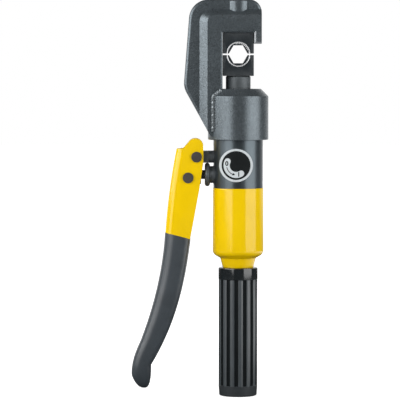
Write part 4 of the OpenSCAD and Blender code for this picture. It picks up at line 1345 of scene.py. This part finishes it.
def surround(world):
    """Plain white to the camera, graded to metal that mirrors it, and dim as light on the tool."""
    tree, (camera, glossy, through, _) = rays(world)
    shown = reckon(tree, "MAXIMUM", reckon(tree, "MAXIMUM", camera, glossy), through)
    place = add_node(tree, "TexCoord", {}).outputs["Generated"]
    split = add_node(tree, "SeparateXYZ", {"Vector": place}).outputs
    seen = reckon(tree, "MAXIMUM", ranged(tree, split["Y"], 0.50, 0.95, 0.04, 0.95), camera)
    ceiling = ranged(tree, split["Z"], 0, 1, 0.46, 0.05)
    behind = ranged(tree, split["Y"], 0, 1, 1.0, 2.6)
    fill = reckon(tree, "MULTIPLY", ceiling, behind)
    strength = add_node(tree, "Mix", {"Factor": shown, "A": fill, "B": seen}, data_type="FLOAT")
    sky = add_node(tree, "Background", {"Color": (1, 1, 1, 1), "Strength": strength.outputs["Result"]})
    add_node(tree, "OutputWorld", {"Surface": sky.outputs["Background"]})


def floor_white():
    """White paint that fades into the surround, graded to metal and dull where it lights the tool."""
    white = bpy.data.materials.new("studio_white")
    tree, (camera, glossy, through, diffuse) = rays(white)
    place = add_node(tree, "TexCoord", {}).outputs["Object"]
    split = add_node(tree, "SeparateXYZ", {"Vector": place}).outputs
    far = add_node(tree, "VectorMath", {0: place}, operation="LENGTH").outputs["Value"]
    fade = ranged(tree, far, 0.08, 0.45, 0.75, 1.0)
    glow = reckon(tree, "MULTIPLY", fade, reckon(tree, "MAXIMUM", camera, through))
    emit = add_node(tree, "Emission", {"Strength": glow})
    flag = ranged(tree, far, 0.10, 0.22, 0.10, FLOOR_COLOUR)
    bounce = add_node(tree, "Mix", {"Factor": diffuse, "A": FLOOR_COLOUR, "B": flag}, data_type="FLOAT")
    paint = add_node(tree, "BsdfDiffuse", {"Color": bounce.outputs["Result"]})
    lit = add_node(tree, "AddShader", {0: paint.outputs["BSDF"], 1: emit.outputs["Emission"]})
    back = ranged(tree, split["Y"], 1.0, 2.4, 0.04, 0.95)
    left = ranged(tree, split["X"], -0.25, -0.50, 0, 0.8)
    right = ranged(tree, split["X"], 0.12, 0.36, 0, 1.8)
    near = ranged(tree, far, 0.7, 1.0, 1.0, 0.0)
    beside = reckon(tree, "MULTIPLY", reckon(tree, "ADD", left, right), near)
    mirrored = add_node(tree, "Emission", {"Strength": reckon(tree, "MAXIMUM", back, beside)})
    turn = add_node(
        tree, "MixShader", {"Fac": glossy, 1: lit.outputs["Shader"], 2: mirrored.outputs["Emission"]})
    add_node(tree, "OutputMaterial", {"Surface": turn.outputs["Shader"]})
    return white


class CRIMPER_OT_stage(bpy.types.Operator):
    """Sets up the floor, the white surround, the soft boxes and the camera"""
    bl_idname = "crimper.stage"
    bl_label = "Stage and camera"

    def execute(self, context):
        scene = context.scene
        scene.view_settings.view_transform = "Standard"
        scene.world = bpy.data.worlds.new("studio")
        surround(scene.world)
        bpy.ops.object.select_all(action="DESELECT")
        bpy.ops.mesh.primitive_plane_add(size=FLOOR_SIZE, location=(0, 0, -LAP))
        floor = context.object
        floor.name = "studio_floor"
        bpy.ops.object.transform_apply(location=True, rotation=True, scale=True)
        floor.data.materials.append(floor_white())
        for name, values in LAMPS.items():
            lamp(name, *values)
        camera = bpy.data.cameras.new("camera")
        camera.lens = LENS
        camera.sensor_width = SENSOR
        eye = bpy.data.objects.new("camera", camera)
        context.collection.objects.link(eye)
        eye.location = EYE
        eye.rotation_euler = (Vector(TARGET) - eye.location).to_track_quat("-Z", "Y").to_euler()
        scene.camera = eye
        return {"FINISHED"}


class CRIMPER_PT_panel(bpy.types.Panel):
    """Lists the pieces of the tool"""
    bl_idname = "CRIMPER_PT_panel"
    bl_label = "Hydraulic hand crimper"
    bl_space_type = "VIEW_3D"
    bl_region_type = "UI"
    bl_category = "Crimper"

    def draw(self, context):
        for name in PIECES:
            self.layout.operator("crimper." + name)


PIECES = ("stage", "solids", "head", "dies", "label", "barrel", "grip", "lever", "sleeve", "springs")
CLASSES = (
    CRIMPER_PG_head, CRIMPER_PG_dies, CRIMPER_PG_label, CRIMPER_PG_barrel, CRIMPER_PG_grip,
    CRIMPER_PG_lever, CRIMPER_PG_springs, CRIMPER_PG_finish, CRIMPER_PG_tool,
    CRIMPER_OT_stage, CRIMPER_OT_solids, CRIMPER_OT_head, CRIMPER_OT_dies, CRIMPER_OT_label,
    CRIMPER_OT_barrel, CRIMPER_OT_grip, CRIMPER_OT_lever, CRIMPER_OT_sleeve, CRIMPER_OT_springs,
    CRIMPER_PT_panel,
)


def register():
    for item in CLASSES:
        bpy.utils.register_class(item)
    bpy.types.Scene.crimping_tool = bpy.props.PointerProperty(type=CRIMPER_PG_tool)


def unregister():
    del bpy.types.Scene.crimping_tool
    for item in reversed(CLASSES):
        bpy.utils.unregister_class(item)


def main():
    register()
    for name in PIECES:
        getattr(bpy.ops.crimper, name)()


if __name__ == "__main__":
    main()
